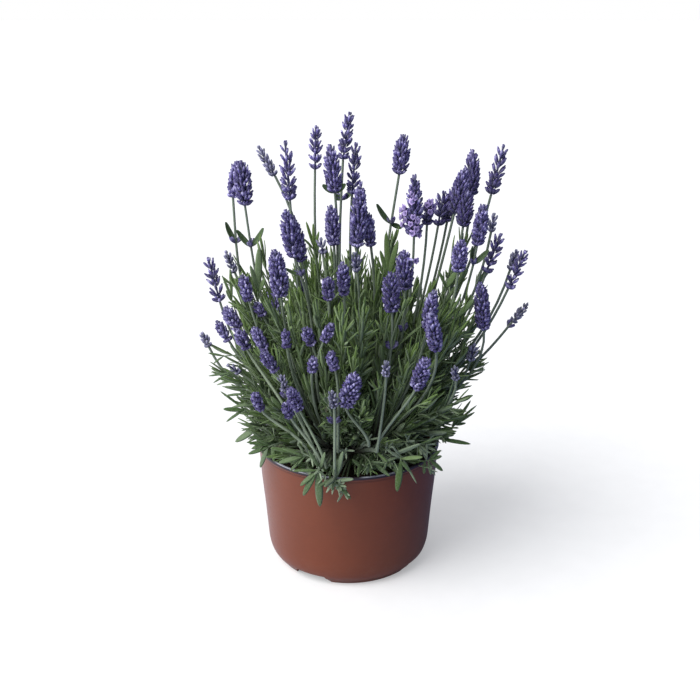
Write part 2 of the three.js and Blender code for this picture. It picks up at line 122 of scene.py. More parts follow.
# Each flower head: the pixels of its foot and its tip, how far its foot stands behind the pot's axis and
# its greatest half width, both in millimetres, its manner of flowering, which is dense if none is given,
# and the pixel of a whorl below it, if it has one.
HEADS = [
    ((245, 206), (241, 160), -4, 8.5, "dense", (251, 247)),
    ((233, 198), (237, 161), 18, 6.5, "dense", (236, 243)),
    ((275, 176), (258, 146), 44, 5.5, "young"),
    ((290, 201), (285, 140), -14, 7.5, "open"),
    ((315, 170), (316, 125), 52, 7, "open"),
    ((335, 193), (330, 144), 2, 8),
    ((343, 160), (350, 110), 38, 6.5, "open", (341, 200)),
    ((352, 195), (356, 142), 14, 6.5, "open"),
    ((357, 248), (361, 181), -24, 8),
    ((371, 247), (366, 210), -14, 6),
    ((334, 246), (331, 205), -4, 7.5),
    ((295, 258), (285, 209), -38, 8, "dense", (301, 276)),
    ((302, 262), (291, 214), -34, 7),
    ((281, 297), (275, 249), -52, 9),
    ((399, 175), (404, 134), 44, 8.5, "dense", (391, 224)),
    ((414, 236), (415, 174), -12, 9, "bloom"),
    ((427, 225), (428, 202), -4, 6, "bloom"),
    ((438, 226), (444, 191), 14, 7.5, "open"),
    ((447, 222), (453, 190), 18, 7),
    ((454, 214), (465, 168), 8, 8),
    ((463, 227), (468, 190), 4, 8),
    ((471, 196), (473, 149), 34, 8),
    ((491, 195), (504, 144), 26, 8, "open"),
    ((477, 246), (484, 204), -14, 7),
    ((491, 232), (494, 215), 10, 4.5, "young"),
    ((486, 273), (501, 233), -4, 6.5, "open"),
    ((508, 289), (526, 250), 2, 6.5, "open"),
    ((510, 270), (516, 251), 18, 4, "young"),
    ((512, 322), (529, 303), 20, 4.5, "young", (508, 327)),
    ((458, 272), (461, 240), -34, 7.5),
    ((484, 330), (480, 281), -28, 7.5),
    ((392, 312), (390, 273), -62, 8.5),
    ((405, 290), (404, 250), -42, 8.5),
    ((427, 329), (434, 290), -58, 7),
    ((436, 351), (431, 312), -72, 7),
    ((416, 388), (427, 358), -88, 7.5),
    ((220, 302), (208, 257), -6, 7.5, "open"),
    ((235, 273), (226, 252), 10, 4.5, "young"),
    ((249, 301), (242, 276), -34, 6),
    ((263, 316), (256, 304), -30, 5),
    ((239, 329), (225, 308), -24, 7),
    ((229, 341), (217, 322), -6, 5),
    ((209, 347), (203, 334), 6, 4.5, "young"),
    ((247, 349), (238, 331), -44, 6),
    ((265, 349), (254, 328), -58, 5.5),
    ((276, 371), (262, 352), -72, 5.5),
    ((299, 409), (290, 389), -92, 6),
    ((290, 416), (285, 404), -88, 5),
    ((285, 390), (281, 377), -80, 4.5, "young", (287, 399)),
    ((261, 409), (254, 394), -78, 5),
    ((240, 373), (229, 366), -50, 4, "young"),
    ((346, 405), (356, 374), -96, 9),
    ((334, 407), (332, 392), -104, 4.5, "young", (334, 423)),
    ((335, 369), (330, 353), -88, 5),
    ((312, 371), (313, 359), -84, 5),
    ((324, 341), (332, 325), -76, 5),
    ((312, 345), (305, 329), -70, 5.5),
    ((344, 295), (343, 262), -56, 6),
    ((329, 300), (328, 279), -62, 6),
    ((287, 347), (285, 331), -70, 4),
    ((386, 376), (386, 363), -94, 4, "young"),
    ((323, 254), (321, 240), -34, 4.5, "young"),
    ((357, 272), (355, 254), -40, 4.5, "young"),
    ((456, 380), (455, 368), -66, 4, "young"),
    ((470, 361), (474, 345), -30, 5, "young"),
]

# The far side carries heads like those low on the near side: these rows of HEADS, turned half round. Those
# with their foot above FAR_TALL stand lower there, by FAR_SINK.
FAR_ROWS = [13, 31, 33, 34, 35, 40, 44, 46, 47, 51, 53, 55, 57, 58]
FAR_TURN = math.pi + 0.16
FAR_TALL = 0.220
FAR_SINK = 0.045

# Leafy shoots with no flower, in rings: how many, how far out and how high they end, and the slope they
# end with. The rings of the part come first, and the rest fill the plant between them.
SHOOT_RINGS = [
    (15, 0.101, 0.133, -0.35), (16, 0.108, 0.190, 0.6), (13, 0.086, 0.252, 1.7), (7, 0.040, 0.284, 4),
]
FILL_RINGS = [
    (20, 0.078, 0.128, 0.2), (18, 0.06, 0.14, 0.8), (18, 0.082, 0.158, 0.9), (18, 0.094, 0.18, 1.3),
    (20, 0.074, 0.2, 2.0), (20, 0.092, 0.222, 2.2), (16, 0.052, 0.232, 3.2), (18, 0.07, 0.252, 3.4),
    (10, 0.094, 0.256, 2.8), (12, 0.03, 0.264, 6),
]
# How much the heights vary in the lowest of the part's rings, in its other rings and in those between them.
RIM_SWAY, RING_SWAY, FILL_SWAY = 0.008, 0.026, 0.024

# Leafy shoots that hang over the rim: the pixel and depth of their end, and the slope of them all.
RIM_SHOOTS = [((336, 476), -98), ((398, 470), -94)]
RIM_RISE = -0.9

# Leafy shoots that stand out from the rings in the photograph: the pixel and depth of their end, and its
# slope.
EDGE_SHOOTS = [
    ((453, 262), -8, 4), ((462, 252), 16, 4), ((459, 284), -20, 3), ((476, 286), 14, 3),
    ((466, 304), -28, 2.6), ((452, 312), -44, 2.6), ((478, 316), -8, 2.2), ((462, 326), -36, 2.2),
    ((452, 338), -54, 2), ((462, 356), -38, 1.5), ((449, 418), -40, 0.5), ((441, 431), -46, 0.1),
    ((230, 270), -6, 4), ((240, 288), -22, 3), ((264, 262), -18, 5),
]

# Tufts of small silvery leaves on short twigs: the pixel and depth of the twig's end, and the leaves in
# the tuft.
TUFTS = [
    ((319, 470), -95, 6), ((325, 476), -97, 5), ((339, 486), -100, 8), ((344, 493), -101, 5),
    ((389, 448), -86, 7), ((346, 452), -88, 5), ((427, 445), -62, 6), ((430, 468), -66, 5),
    ((311, 458), -90, 5), ((297, 440), -80, 5), ((368, 440), -84, 5), ((407, 442), -76, 5),
]

# Flower stalks that turn up from a low branch lying on the front rim: the row of the head, and the pixel
# and depth of the turn.
LOW_BRANCHES = {
    46: ((326, 468), -93), 47: ((322, 466), -91), 48: ((318, 462), -88), 49: ((308, 452), -82),
    51: ((369, 446), -88), 52: ((335, 478), -97), 53: ((338, 452), -84), 60: ((377, 452), -88),
    35: ((376, 450), -86), 43: ((296, 430), -72), 45: ((306, 436), -76),
}

# Sprays of leaves that the photograph shows clearly: the pixel and depth of the node that they grow from,
# and for each leaf the pixel of its tip, how far the tip stands in front of the node, its width in
# millimetres, its tint and how silvery it is.
SPRAYS = [
    ((316, 472), -95, [
        ((300, 486), 4, 4.5, 0.1, 0.1), ((303, 496), 5, 5.5, -0.2, 0.1), ((320, 507), 6, 7.0, -0.1, 0.2),
        ((292, 471), 2, 3.2, 0.2, 0.1), ((325, 452), 2, 4.0, 0.1, 0.4), ((308, 450), 2, 3.4, 0.1, 0.2),
    ]),
    ((335, 481), -97, [
        ((354, 479), 4, 4.2, 0.0, 0.5), ((351, 499), 5, 4.4, -0.1, 0.1), ((343, 451), 3, 5.0, 0.1, 0.5),
        ((326, 493), 4, 2.6, 0.1, 0.9), ((340, 494), 4, 2.2, 0.1, 1.0), ((332, 495), 5, 2.2, 0.1, 0.9),
        ((347, 490), 4, 2.2, 0.1, 0.8), ((322, 485), 4, 2.6, 0.1, 0.8), ((325, 487), 36, 4.4, 0.1, 0.3),
        ((332, 491), 24, 3.8, 0.0, 0.3), ((319, 487), 20, 4.0, 0.1, 0.2), ((329, 464), 4, 3.0, 0.1, 0.7),
    ]),
    ((303, 456), -86, [
        ((278, 463), 4, 5.2, 0.2, 0.2), ((283, 449), 2, 3.2, 0.2, 0.2), ((290, 471), 4, 3.6, 0.1, 0.1),
    ]),
    ((268, 447), -52, [
        ((248, 454), 3, 4.6, -0.1, 0.0), ((260, 468), 6, 4.4, 0.0, 0.4), ((246, 442), 2, 2.6, -0.1, 0.0),
        ((251, 436), 0, 2.6, 0.0, 0.1), ((274, 462), 5, 4.0, 0.1, 0.1),
    ]),
    ((256, 429), -42, [((235, 442), 4, 6.4, 0.1, 0.3), ((240, 423), 0, 3.0, 0.1, 0.2)]),
    ((244, 410), -32, [
        ((223, 409), 2, 5.0, -0.1, 0.0), ((226, 422), 3, 3.0, 0.0, 0.1), ((220, 391), 0, 2.6, 0.1, 0.1),
    ]),
    ((246, 394), -36, [((231, 384), 0, 3.0, 0.1, 0.2), ((224, 396), 0, 2.8, 0.0, 0.1)]),
    ((401, 461), -87, [
        ((397, 492), 6, 6.2, 0.15, 0.0), ((410, 472), 3, 3.4, 0.1, 0.1), ((423, 457), 3, 4.6, 0.6, 0.2),
        ((387, 450), 2, 3.0, 0.1, 0.9), ((392, 446), 2, 2.4, 0.1, 1.0), ((384, 462), 2, 3.0, 0.0, 0.4),
        ((417, 484), 4, 2.2, 0.0, 0.6),
    ]),
    ((363, 469), -78, [((387, 461), -2, 7.0, -0.1, 0.1), ((352, 459), -4, 4.0, 0.0, 0.1)]),
    ((430, 460), -62, [
        ((443, 471), 3, 4.6, 0.0, 0.1), ((442, 456), 0, 4.0, 0.0, 0.1), ((441, 450), 0, 3.6, 0.0, 0.1),
        ((431, 475), 4, 3.4, 0.0, 0.3), ((421, 446), 3, 2.4, 0.1, 0.9), ((427, 443), 3, 2.4, 0.1, 0.9),
        ((424, 474), 4, 3.6, 0.1, 0.2),
    ]),
    ((440, 439), -48, [((471, 444), 2, 4.4, -0.1, 0.0), ((456, 433), 0, 3.0, 0.0, 0.1)]),
    ((455, 425), -36, [
        ((466, 423), 0, 3.0, -0.1, 0.1), ((475, 412), 0, 3.0, 0.0, 0.1), ((471, 400), -2, 3.0, 0.0, 0.2),
        ((477, 405), 0, 2.6, 0.0, 0.1), ((461, 408), 2, 3.0, 0.1, 0.1),
    ]),
    ((258, 291), -26, [
        ((259, 247), 0, 6.4, 0.3, 0.3), ((250, 265), 2, 4.4, 0.2, 0.3), ((265, 278), 3, 5.2, 0.3, 0.2),
    ]),
    ((314, 248), -22, [
        ((306, 221), 0, 3.0, 0.8, 0.0), ((313, 223), 0, 2.6, 0.9, 0.0), ((319, 231), 2, 2.8, 0.7, 0.0),
        ((303, 238), 2, 2.6, 0.6, 0.0),
    ]),
    ((224, 356), -14, [((208, 353), 0, 2.6, 0.0, 0.1), ((213, 364), 0, 2.2, 0.0, 0.1)]),
    ((231, 373), -24, [((208, 376), 0, 2.4, 0.0, 0.1), ((213, 383), 1, 2.4, 0.0, 0.1)]),
    ((389, 276), -18, [
        ((386, 232), 0, 6.0, 0.6, 0.1), ((398, 240), 2, 5.4, 0.5, 0.1), ((380, 250), 2, 4.6, 0.6, 0.1),
        ((404, 256), 2, 4.0, 0.4, 0.1),
    ]),
    ((446, 288), -26, [((457, 271), 1, 6.0, 0.3, 0.1), ((438, 270), 1, 3.6, 0.3, 0.1)]),
    ((457, 318), -34, [((474, 299), 2, 6.0, 0.1, 0.1)]),
    ((232, 300), -8, [
        ((230, 268), 0, 2.8, 0.5, 0.2), ((222, 275), 0, 2.6, 0.4, 0.3), ((226, 290), 1, 3.4, 0.3, 0.4),
    ]),
    ((247, 330), -26, [
        ((237, 303), 1, 4.2, 0.8, 0.1), ((250, 300), 1, 3.6, 0.9, 0.0), ((242, 313), 3, 3.4, 0.9, 0.1),
        ((257, 313), 2, 3.6, 0.7, 0.1),
    ]),
]

# Whorls low on a stalk that the photograph shows besides those of HEADS: the row of the head, and the
# pixel of the whorl.
LOW_WHORLS = {8: (360, 262), 23: (476, 257), 31: (390, 351), 32: (400, 326)}

# The pixels of the tips of the bracts that the photograph shows, for each head's row. A row with no pixel
# has no bracts, and every other whorl has two small ones.
BRACT_TIPS = {
    0: [(264, 228), (236, 230)],
    1: [(225, 222)],
    5: [(322, 185), (346, 184)],
    6: [(335, 195), (353, 191)],
    14: [(376, 204), (402, 228)],
    23: [(472, 246), (489, 250)],
    28: [], 31: [], 32: [], 48: [], 52: [],
}

# The heads with open flowers: for each head's row, the pixel of each flower and how far it stands in front
# of the head's foot, in millimetres.
BLOOMS = {
    15: [
        ((403, 207), 2), ((400, 210), -1), ((404, 213), 4), ((400, 217), 1), ((404, 220), 3),
        ((401, 224), -1), ((402, 215), -4), ((403, 225), -4), ((405, 209), -2), ((412, 194), 5),
        ((415, 198), 6), ((412, 202), 5), ((413, 217), 9), ((418, 221), 9), ((410, 224), 7),
        ((417, 229), 9), ((412, 233), 6), ((420, 235), 5),
    ],
    16: [((430, 202), 5), ((432, 207), 3), ((427, 205), 6), ((430, 212), 5)],
    32: [((417, 261), 18)],
}

# Heads that stand in the shade of their neighbours, dark low down.
SHADY = (16, 17, 18, 19, 20, 21, 22)

# The places along the rim, from left to right, where no leaf lies over it.
CLEAR_RIM = [(-0.080, -0.043), (0.004, 0.030)]

# Stalks that the photograph shows from end to end in front of the leaves, besides those of low branches.
SEEN_STALKS = (11, 13, 31, 33, 34)

# Where the photograph shows the background between the leaves: the pixel, and how many pixels the gap
# reaches.
GAPS = [
    ((227, 268), 5), ((245, 266), 4), ((236, 291), 3), ((241, 302), 2.5), ((260, 286), 2), ((256, 297), 3),
    ((275, 303), 4.5), ((280, 310), 2.5), ((250, 310), 2), ((296, 264), 3), ((290, 275), 2.5),
    ((236, 314), 3), ((228, 342), 3), ((233, 347), 2), ((222, 346), 4), ((231, 352), 2.5),
    ((235, 359), 2.5), ((223, 362), 4), ((313, 279), 2), ((427, 287), 3), ((434, 255), 5), ((446, 266), 3),
    ((453, 283), 2.5), ((457, 295), 3), ((452, 296), 2), ((445, 297), 2.5), ((446, 286), 2),
    ((471, 290), 4), ((469, 310), 3.5), ((470, 317), 2), ((470, 266), 3), ((479, 268), 2.5),
    ((452, 354), 2.5), ((446, 355), 1.5), ((440, 364), 2), ((475, 380), 2.5), ((402, 236), 4),
    ((420, 246), 3), ((376, 246), 4), ((364, 248), 3), ((306, 243), 2.5), ((413, 282), 3.5),
    ((421, 273), 4), ((423, 295), 2.5), ((413, 309), 2.5), ((418, 318), 2), ((408, 338), 2),
    ((400, 312), 1.5),
]

# How far from the axis the leaves reach at each height, over the rim and up to the flower heads.
SKIRT_HEIGHTS = [0.095, 0.112, 0.133, 0.150, 0.174, 0.213, 0.250]
SKIRT_REACHES = [0.088, 0.093, 0.101, 0.112, 0.122, 0.134, 0.138]


# How the stems run. A stem's first handle stands at shares of its span sideways and up, its last one has a
# share of the span as its length, and a head leans by a share of the slope of its stalk's whole course.
STEM_OUT, STEM_UP, STEM_IN = 0.42, 0.26, 0.36
HEAD_LEAN = 0.7


def fraction(value):
    return value - math.floor(value)


def scatter(number, salt):
    """A number from -0.5 to 0.5 that spreads evenly as its arguments count up."""
    return fraction((number + 1) * GOLDEN * (1 + salt)) - 0.5


def place_at(pixel, depth):
    """The place seen at a pixel of the photograph, a given distance behind the pot's axis."""
    right = (pixel[0] - MIDDLE) / FOCAL
    up = (MIDDLE - pixel[1]) / FOCAL
    reach = (depth + CAMERA_BACK) / (math.cos(CAMERA_TILT) + up * math.sin(CAMERA_TILT))
    height = CAMERA_HEIGHT + reach * (up * math.cos(CAMERA_TILT) - math.sin(CAMERA_TILT))
    return Vector((CAMERA_SIDE + reach * right, depth, height))


def head_from(foot_pixel, tip_pixel, depth, wide, manner="dense", whorl_pixel=None):
    """A flower head from a row of HEADS. Its whorl is a place and the direction of the stalk there."""
    depth *= MM
    foot = place_at(foot_pixel, depth)
    lean = HEAD_LEAN * depth / (foot.z - SOIL_TOP)

    def on_line(pixel):
        return place_at(pixel, depth + lean * (place_at(pixel, depth).z - foot.z))

    whorl = None
    if whorl_pixel:
        place = on_line(whorl_pixel)
        whorl = (place, (foot - place).normalized())
    return SimpleNamespace(foot=foot, tip=on_line(tip_pixel), wide=wide * MM, manner=manner, whorl=whorl)


def far_head(near):
    """The head of the far side that repeats one of the near side."""
    turned = Matrix.Rotation(FAR_TURN, 3, "Z")
    sink = UP * (FAR_SINK if near.foot.z > FAR_TALL else 0)
    foot, tip = turned @ near.foot - sink, turned @ near.tip - sink
    return SimpleNamespace(foot=foot, tip=tip, wide=near.wide, manner=near.manner, whorl=None)


def bunch_of(place):
    """The number of the bunch that a place belongs to, counted round the axis."""
    share = fraction(math.atan2(place.y, place.x) / TURN - BUNCH_TURN / BUNCHES)
    return int(share * BUNCHES)


def bunch_foot(number, height):
    angle = (number + 0.5 + BUNCH_TURN) * TURN / BUNCHES
    return Vector((BUNCH_RING * math.cos(angle), BUNCH_RING * math.sin(angle), height))


def stem_to(end, direction, samples=14):
    """The bunch that a stem belongs to and the points of its course, which ends in a given direction."""
    bunch = bunch_of(end)
    start = bunch_foot(bunch, SOIL_TOP + BUNCH_RISE)
    span = end - start
    out = start + Vector((span.x * STEM_OUT, span.y * STEM_OUT, span.z * STEM_UP))
    into = end - direction * (STEM_IN * span.length)
    return bunch, [Vector(point) for point in interpolate_bezier(start, out, into, end, samples)]


def pixels_of(places):
    """Where the photograph shows each of an array of places."""
    right, back, up = (places[..., axis] for axis in range(3))
    ahead = (back + CAMERA_BACK) * math.cos(CAMERA_TILT) + (CAMERA_HEIGHT - up) * math.sin(CAMERA_TILT)
    above = (up - CAMERA_HEIGHT) * math.cos(CAMERA_TILT) + (back + CAMERA_BACK) * math.sin(CAMERA_TILT)
    across, down = MIDDLE + FOCAL * (right - CAMERA_SIDE) / ahead, MIDDLE - FOCAL * above / ahead
    return np.stack([across, down], axis=-1)


def outwards_at(place):
    """The level direction from the pot's axis to a place."""
    return Vector((place.x, place.y, 0)).normalized()


def stalk_of(head, turn=None):
    """A head's stalk, straight from its bunch or by way of the turn of a low branch."""
    direction = (head.tip - head.foot).normalized()
    if turn is not None:
        node = place_at(turn[0], turn[1] * MM)
        outwards = outwards_at(node)
        bunch, points = stem_to(node, (outwards + UP * 0.25).normalized(), 10)
        reach = (head.foot - node).length
        leaving = node + (outwards * 0.1 + UP * 0.3) * reach
        arriving = head.foot - direction * (0.3 * reach)
        rising = interpolate_bezier(node, leaving, arriving, head.foot, 9)
        points += [Vector(point) for point in rising[1:]]
    elif head.whorl is None:
        bunch, points = stem_to(head.foot, direction)
    else:
        bunch, points = stem_to(*head.whorl)
        points.append(head.foot)
    return SimpleNamespace(bunch=bunch, points=points, head=head, is_low=turn is not None)


def spray_of(pixel, depth, tips):
    """A twig that ends at a node, with the tips of the leaves that grow there."""
    node = place_at(pixel, depth * MM)
    leaves = []
    for tip_pixel, forward, width, tint, silver in tips:
        tip = place_at(tip_pixel, (depth - forward) * MM)
        leaves.append(SimpleNamespace(tip=tip, width=width * MM, tint=tint, silver=silver))
    direction = sum((leaf.tip - node for leaf in leaves), Vector()).normalized()
    bunch, points = stem_to(node, direction)
    return SimpleNamespace(bunch=bunch, points=points, node=node, leaves=leaves)


def tuft_of(pixel, depth, count):
    """A twig that ends in a tuft of a number of leaves."""
    node = place_at(pixel, depth * MM)
    bunch, points = stem_to(node, (outwards_at(node) + UP * 0.2).normalized())
    return SimpleNamespace(bunch=bunch, points=points, count=count)


def shoots_of(ring, row, sway):
    """The shoots of a ring, unevenly spaced, each a little more or less far out and high than the ring."""
    count, reach, height, rise = ring
    shoots = []
    for i in range(count):
        angle = (i + 0.5 * row + 0.5 * scatter(i, row)) * TURN / count
        out = reach * (1 + 0.16 * scatter(i, row + 1))
        up = height + sway * scatter(i, row + 2)
        end = Vector((out * math.cos(angle), out * math.sin(angle), up))
        bunch, points = stem_to(end, Vector((math.cos(angle), math.sin(angle), rise)).normalized())
        shoots.append(SimpleNamespace(bunch=bunch, points=points, rise=rise))
    return shoots


def placed_shoot(pixel, depth, rise=RIM_RISE):
    end = place_at(pixel, depth * MM)
    outwards = outwards_at(end)
    bunch, points = stem_to(end, Vector((outwards.x, outwards.y, rise)).normalized())
    return SimpleNamespace(bunch=bunch, points=points, rise=rise)


def plan_plant():
    """The flower heads, their stalks, the leafy shoots, and the twigs of the sprays and the tufts."""
    heads = [head_from(*row) for row in HEADS]
    heads += [far_head(heads[row]) for row in FAR_ROWS]
    stalks = [stalk_of(head, LOW_BRANCHES.get(row)) for row, head in enumerate(heads)]
    for row, head in enumerate(heads):
        head.row, head.bunch = row, bunch_of(head.whorl[0] if head.whorl else head.foot)
    for row, pixel in LOW_WHORLS.items():
        stalk = stalks[row]
        course = pixels_of(np.array(stalk.points[:-1]))
        nearest = int(np.argmin(np.linalg.norm(course - np.array(pixel), axis=1)))
        place, ahead = stalk.points[nearest : nearest + 2]
        heads[row].whorl = (place, (ahead - place).normalized())
    shoots = []
    for row, ring in enumerate(SHOOT_RINGS):
        shoots += shoots_of(ring, row, RING_SWAY if row else RIM_SWAY)
    shoots += [placed_shoot(*row) for row in RIM_SHOOTS]
    for row, ring in enumerate(FILL_RINGS, start=len(SHOOT_RINGS) + 1):
        shoots += shoots_of(ring, row, FILL_SWAY)
    shoots += [placed_shoot(*row) for row in EDGE_SHOOTS]
    sprays = [spray_of(*row) for row in SPRAYS]
    return heads, stalks, shoots, sprays, [tuft_of(*row) for row in TUFTS]


FLOWER_HEADS, STALKS, SHOOTS, TWIGS, TUFT_TWIGS = plan_plant()


def in_bunch(bunch, *kinds):
    """The members of some lists that belong to a bunch."""
    return [member for kind in kinds for member in kind if member.bunch == bunch]


def sideways(along):
    """Two directions square to a line: the first lies level, the second leans up."""
    level = UP.cross(along)
    if level.length < 0.05:
        level = Vector((1, 0, 0))
    level.normalize()
    return level, along.cross(level).normalized()


def round_stem(level, up, angle):
    """The direction at an angle round a stem, from the two directions square to it."""
    return level * math.cos(angle) + up * math.sin(angle)


def stations(points, start, gap):
    """Every `gap` metres along a course, from a share of its length on: the place, direction and share."""
    course = np.array([tuple(point) for point in points])
    steps = np.linalg.norm(np.diff(course, axis=0), axis=1)
    marks = np.concatenate([[0], np.cumsum(steps)])
    whole = marks[-1]
    distance = start * whole
    found = []
    while distance <= whole:
        here, ahead = (
            Vector([np.interp(at, marks, course[:, axis]) for axis in range(3)])
            for at in (min(distance, whole - MM), min(distance, whole - MM) + MM)
        )
        found.append((here, (ahead - here).normalized(), distance / whole))
        distance += gap
    return found


# ---- Meshes and Geometry Nodes -------------------------------------------------------------------


def loft(rings):
    """The corners and faces of a closed skin over rings of points. A ring of one point closes to a tip."""
    corners, faces = [], []
    starts = []
    for ring in rings:
        starts.append(len(corners))
        corners.extend(ring)
    for i in range(len(rings) - 1):
        low, high = len(rings[i]), len(rings[i + 1])
        for j in range(max(low, high)):
            a, b = starts[i] + j % low, starts[i] + (j + 1) % low
            c, d = starts[i + 1] + j % high, starts[i + 1] + (j + 1) % high
            if low == 1:
                faces.append((a, d, c))
            elif high == 1:
                faces.append((a, b, c))
            else:
                faces.append((a, b, d, c))
    if len(rings[0]) > 1:
        faces.append(tuple(range(len(rings[0])))[::-1])
    if len(rings[-1]) > 1:
        faces.append(tuple(starts[-1] + j for j in range(len(rings[-1]))))
    return corners, faces


def write_marks(mesh, **marks):
    """Writes marks on a mesh: under each label a number for every corner, for the trees and materials."""
    for label, values in marks.items():
        mesh.attributes.new(label, "FLOAT", "POINT").data.foreach_set("value", values)


def mesh_from(name, corners, faces, **marks):
    """A smooth mesh with its marks."""
    mesh = bpy.data.meshes.new(name)
    mesh.from_pydata([tuple(corner) for corner in corners], [], faces, shade_flat=False)
    write_marks(mesh, **marks)
    mesh.update()
    return mesh


def place_in_scene(mesh):
    """An object in the scene that has a mesh and its name."""
    piece = bpy.data.objects.new(mesh.name, mesh)
    bpy.context.scene.collection.objects.link(piece)
    return piece


def new_group(name, kind, inputs, outputs):
    """An empty node group with its inputs and outputs, and the nodes at its two ends."""
    tree = bpy.data.node_groups.new(name, kind)
    for way, sockets in (("OUTPUT", outputs), ("INPUT", inputs)):
        for label, socket_kind, default in sockets:
            socket = tree.interface.new_socket(name=label, in_out=way, socket_type=socket_kind)
            if default is not None:
                socket.default_value = default
    return tree, tree.nodes.new("NodeGroupInput"), tree.nodes.new("NodeGroupOutput")


def node_tree(name, inputs):
    """An empty Geometry Nodes tree with a geometry in and out and the named inputs."""
    geometry = ("Geometry", "NodeSocketGeometry", None)
    return new_group(name, "GeometryNodeTree", [geometry, *inputs], [geometry])


def add(tree, kind, values=None, **settings):
    """A new node of a tree, with settings, and values or links for its inputs by name or place."""
    node = tree.nodes.new(kind)
    for setting, value in settings.items():
        setattr(node, setting, value)
    for label, value in (values or {}).items():
        if isinstance(value, bpy.types.NodeSocket):
            tree.links.new(value, node.inputs[label])
        else:
            node.inputs[label].default_value = value
    return node


def marked(tree, label, kind):
    """A mark of the mesh that a Geometry Nodes tree runs on."""
    node = add(tree, "GeometryNodeInputNamedAttribute", {"Name": label}, data_type=kind)
    return node.outputs["Attribute"]


def times(tree, first, second):
    return add(tree, "ShaderNodeMath", {0: first, 1: second}, operation="MULTIPLY").outputs["Value"]


def shapes_in(tree, collection):
    """The shapes of a collection as separate instances, for a tree to pick from."""
    values = {"Collection": collection, "Separate Children": True, "Reset Children": True}
    return add(tree, "GeometryNodeCollectionInfo", values).outputs["Instances"]


def finish_tree(tree, geometry, finish, outgoing):
    """Ends a tree: its instances become real, smooth and of one material."""
    real = add(tree, "GeometryNodeRealizeInstances", {"Geometry": geometry})
    smooth = add(tree, "GeometryNodeSetShadeSmooth", {"Geometry": real.outputs["Geometry"]})
    values = {"Geometry": smooth.outputs["Geometry"], "Material": finish}
    dressed = add(tree, "GeometryNodeSetMaterial", values)
    tree.links.new(dressed.outputs["Geometry"], outgoing.inputs["Geometry"])


def sprout_tree():
    """Puts a shape from a collection on each point, by the point's own turn, size and shape number."""
    inputs = [
        ("Shapes", "NodeSocketCollection", None),
        ("Size", "NodeSocketFloat", 1.0),
        ("Finish", "NodeSocketMaterial", None),
    ]
    tree, incoming, outgoing = node_tree("Sprout On Points", inputs)
    scaling = {0: marked(tree, "size", "FLOAT_VECTOR"), "Scale": incoming.outputs["Size"]}
    size = add(tree, "ShaderNodeVectorMath", scaling, operation="SCALE")
    setting = {
        "Points": incoming.outputs["Geometry"],
        "Instance": shapes_in(tree, incoming.outputs["Shapes"]),
        "Pick Instance": True,
        "Instance Index": marked(tree, "shape", "INT"),
        "Rotation": marked(tree, "turn", "QUATERNION"),
        "Scale": size.outputs["Vector"],
    }
    sprouts = add(tree, "GeometryNodeInstanceOnPoints", setting)
    finish_tree(tree, sprouts.outputs["Instances"], incoming.outputs["Finish"], outgoing)
    return tree


def stem_tree():
    """Turns courses of points into round stems of the points' own thickness."""
    inputs = [
        ("Sides", "NodeSocketInt", 6),
        ("Girth", "NodeSocketFloat", 1.0),
        ("Finish", "NodeSocketMaterial", None),
    ]
    tree, incoming, outgoing = node_tree("Stems Along Courses", inputs)
    curve = add(tree, "GeometryNodeMeshToCurve", {"Mesh": incoming.outputs["Geometry"]})
    round_section = {"Resolution": incoming.outputs["Sides"], "Radius": 1.0}
    outline = add(tree, "GeometryNodeCurvePrimitiveCircle", round_section)
    sweep = {
        "Curve": curve.outputs["Curve"],
        "Profile Curve": outline.outputs["Curve"],
        "Scale": times(tree, marked(tree, "thick", "FLOAT"), incoming.outputs["Girth"]),
        "Fill Caps": True,
    }
    tubes = add(tree, "GeometryNodeCurveToMesh", sweep)
    finish_tree(tree, tubes.outputs["Mesh"], incoming.outputs["Finish"], outgoing)
    return tree


def crumb_tree():
    """Strews crumbs over the upward faces of a surface and keeps the surface below them."""
    inputs = [
        ("Crumbs", "NodeSocketCollection", None),
        ("Density", "NodeSocketFloat", 60000.0),
        ("Smallest", "NodeSocketFloat", 0.0008),
        ("Largest", "NodeSocketFloat", 0.0032),
        ("Seed", "NodeSocketInt", SEED),
        ("Finish", "NodeSocketMaterial", None),
    ]
    tree, incoming, outgoing = node_tree("Crumbs On Compost", inputs)
    facing = add(tree, "ShaderNodeSeparateXYZ", {0: add(tree, "GeometryNodeInputNormal").outputs["Normal"]})
    upward = add(tree, "FunctionNodeCompare", {0: facing.outputs["Z"], 1: 0.5}, operation="GREATER_THAN")
    strewing = {
        "Mesh": incoming.outputs["Geometry"],
        "Selection": upward.outputs["Result"],
        "Density": incoming.outputs["Density"],
        "Seed": incoming.outputs["Seed"],
    }
    points = add(tree, "GeometryNodeDistributePointsOnFaces", strewing)
    least, most, seed = (incoming.outputs[name] for name in ("Smallest", "Largest", "Seed"))
    size = add(tree, "FunctionNodeRandomValue", {2: least, 3: most, "Seed": seed})
    tumble = add(tree, "FunctionNodeRandomValue", {1: (TURN, TURN, TURN)}, data_type="FLOAT_VECTOR")
    setting = {
        "Points": points.outputs["Points"],
        "Instance": shapes_in(tree, incoming.outputs["Crumbs"]),
        "Pick Instance": True,
        "Rotation": tumble.outputs["Value"],
        "Scale": size.outputs[1],
    }
    strewn = add(tree, "GeometryNodeInstanceOnPoints", setting)
    both = add(tree, "GeometryNodeJoinGeometry")
    tree.links.new(strewn.outputs["Instances"], both.inputs["Geometry"])
    tree.links.new(incoming.outputs["Geometry"], both.inputs["Geometry"])
    finish_tree(tree, both.outputs["Geometry"], incoming.outputs["Finish"], outgoing)
    return tree


def shared_group(name, build):
    """A node group by name, built the first time that it is asked for."""
    return bpy.data.node_groups.get(name) or build()


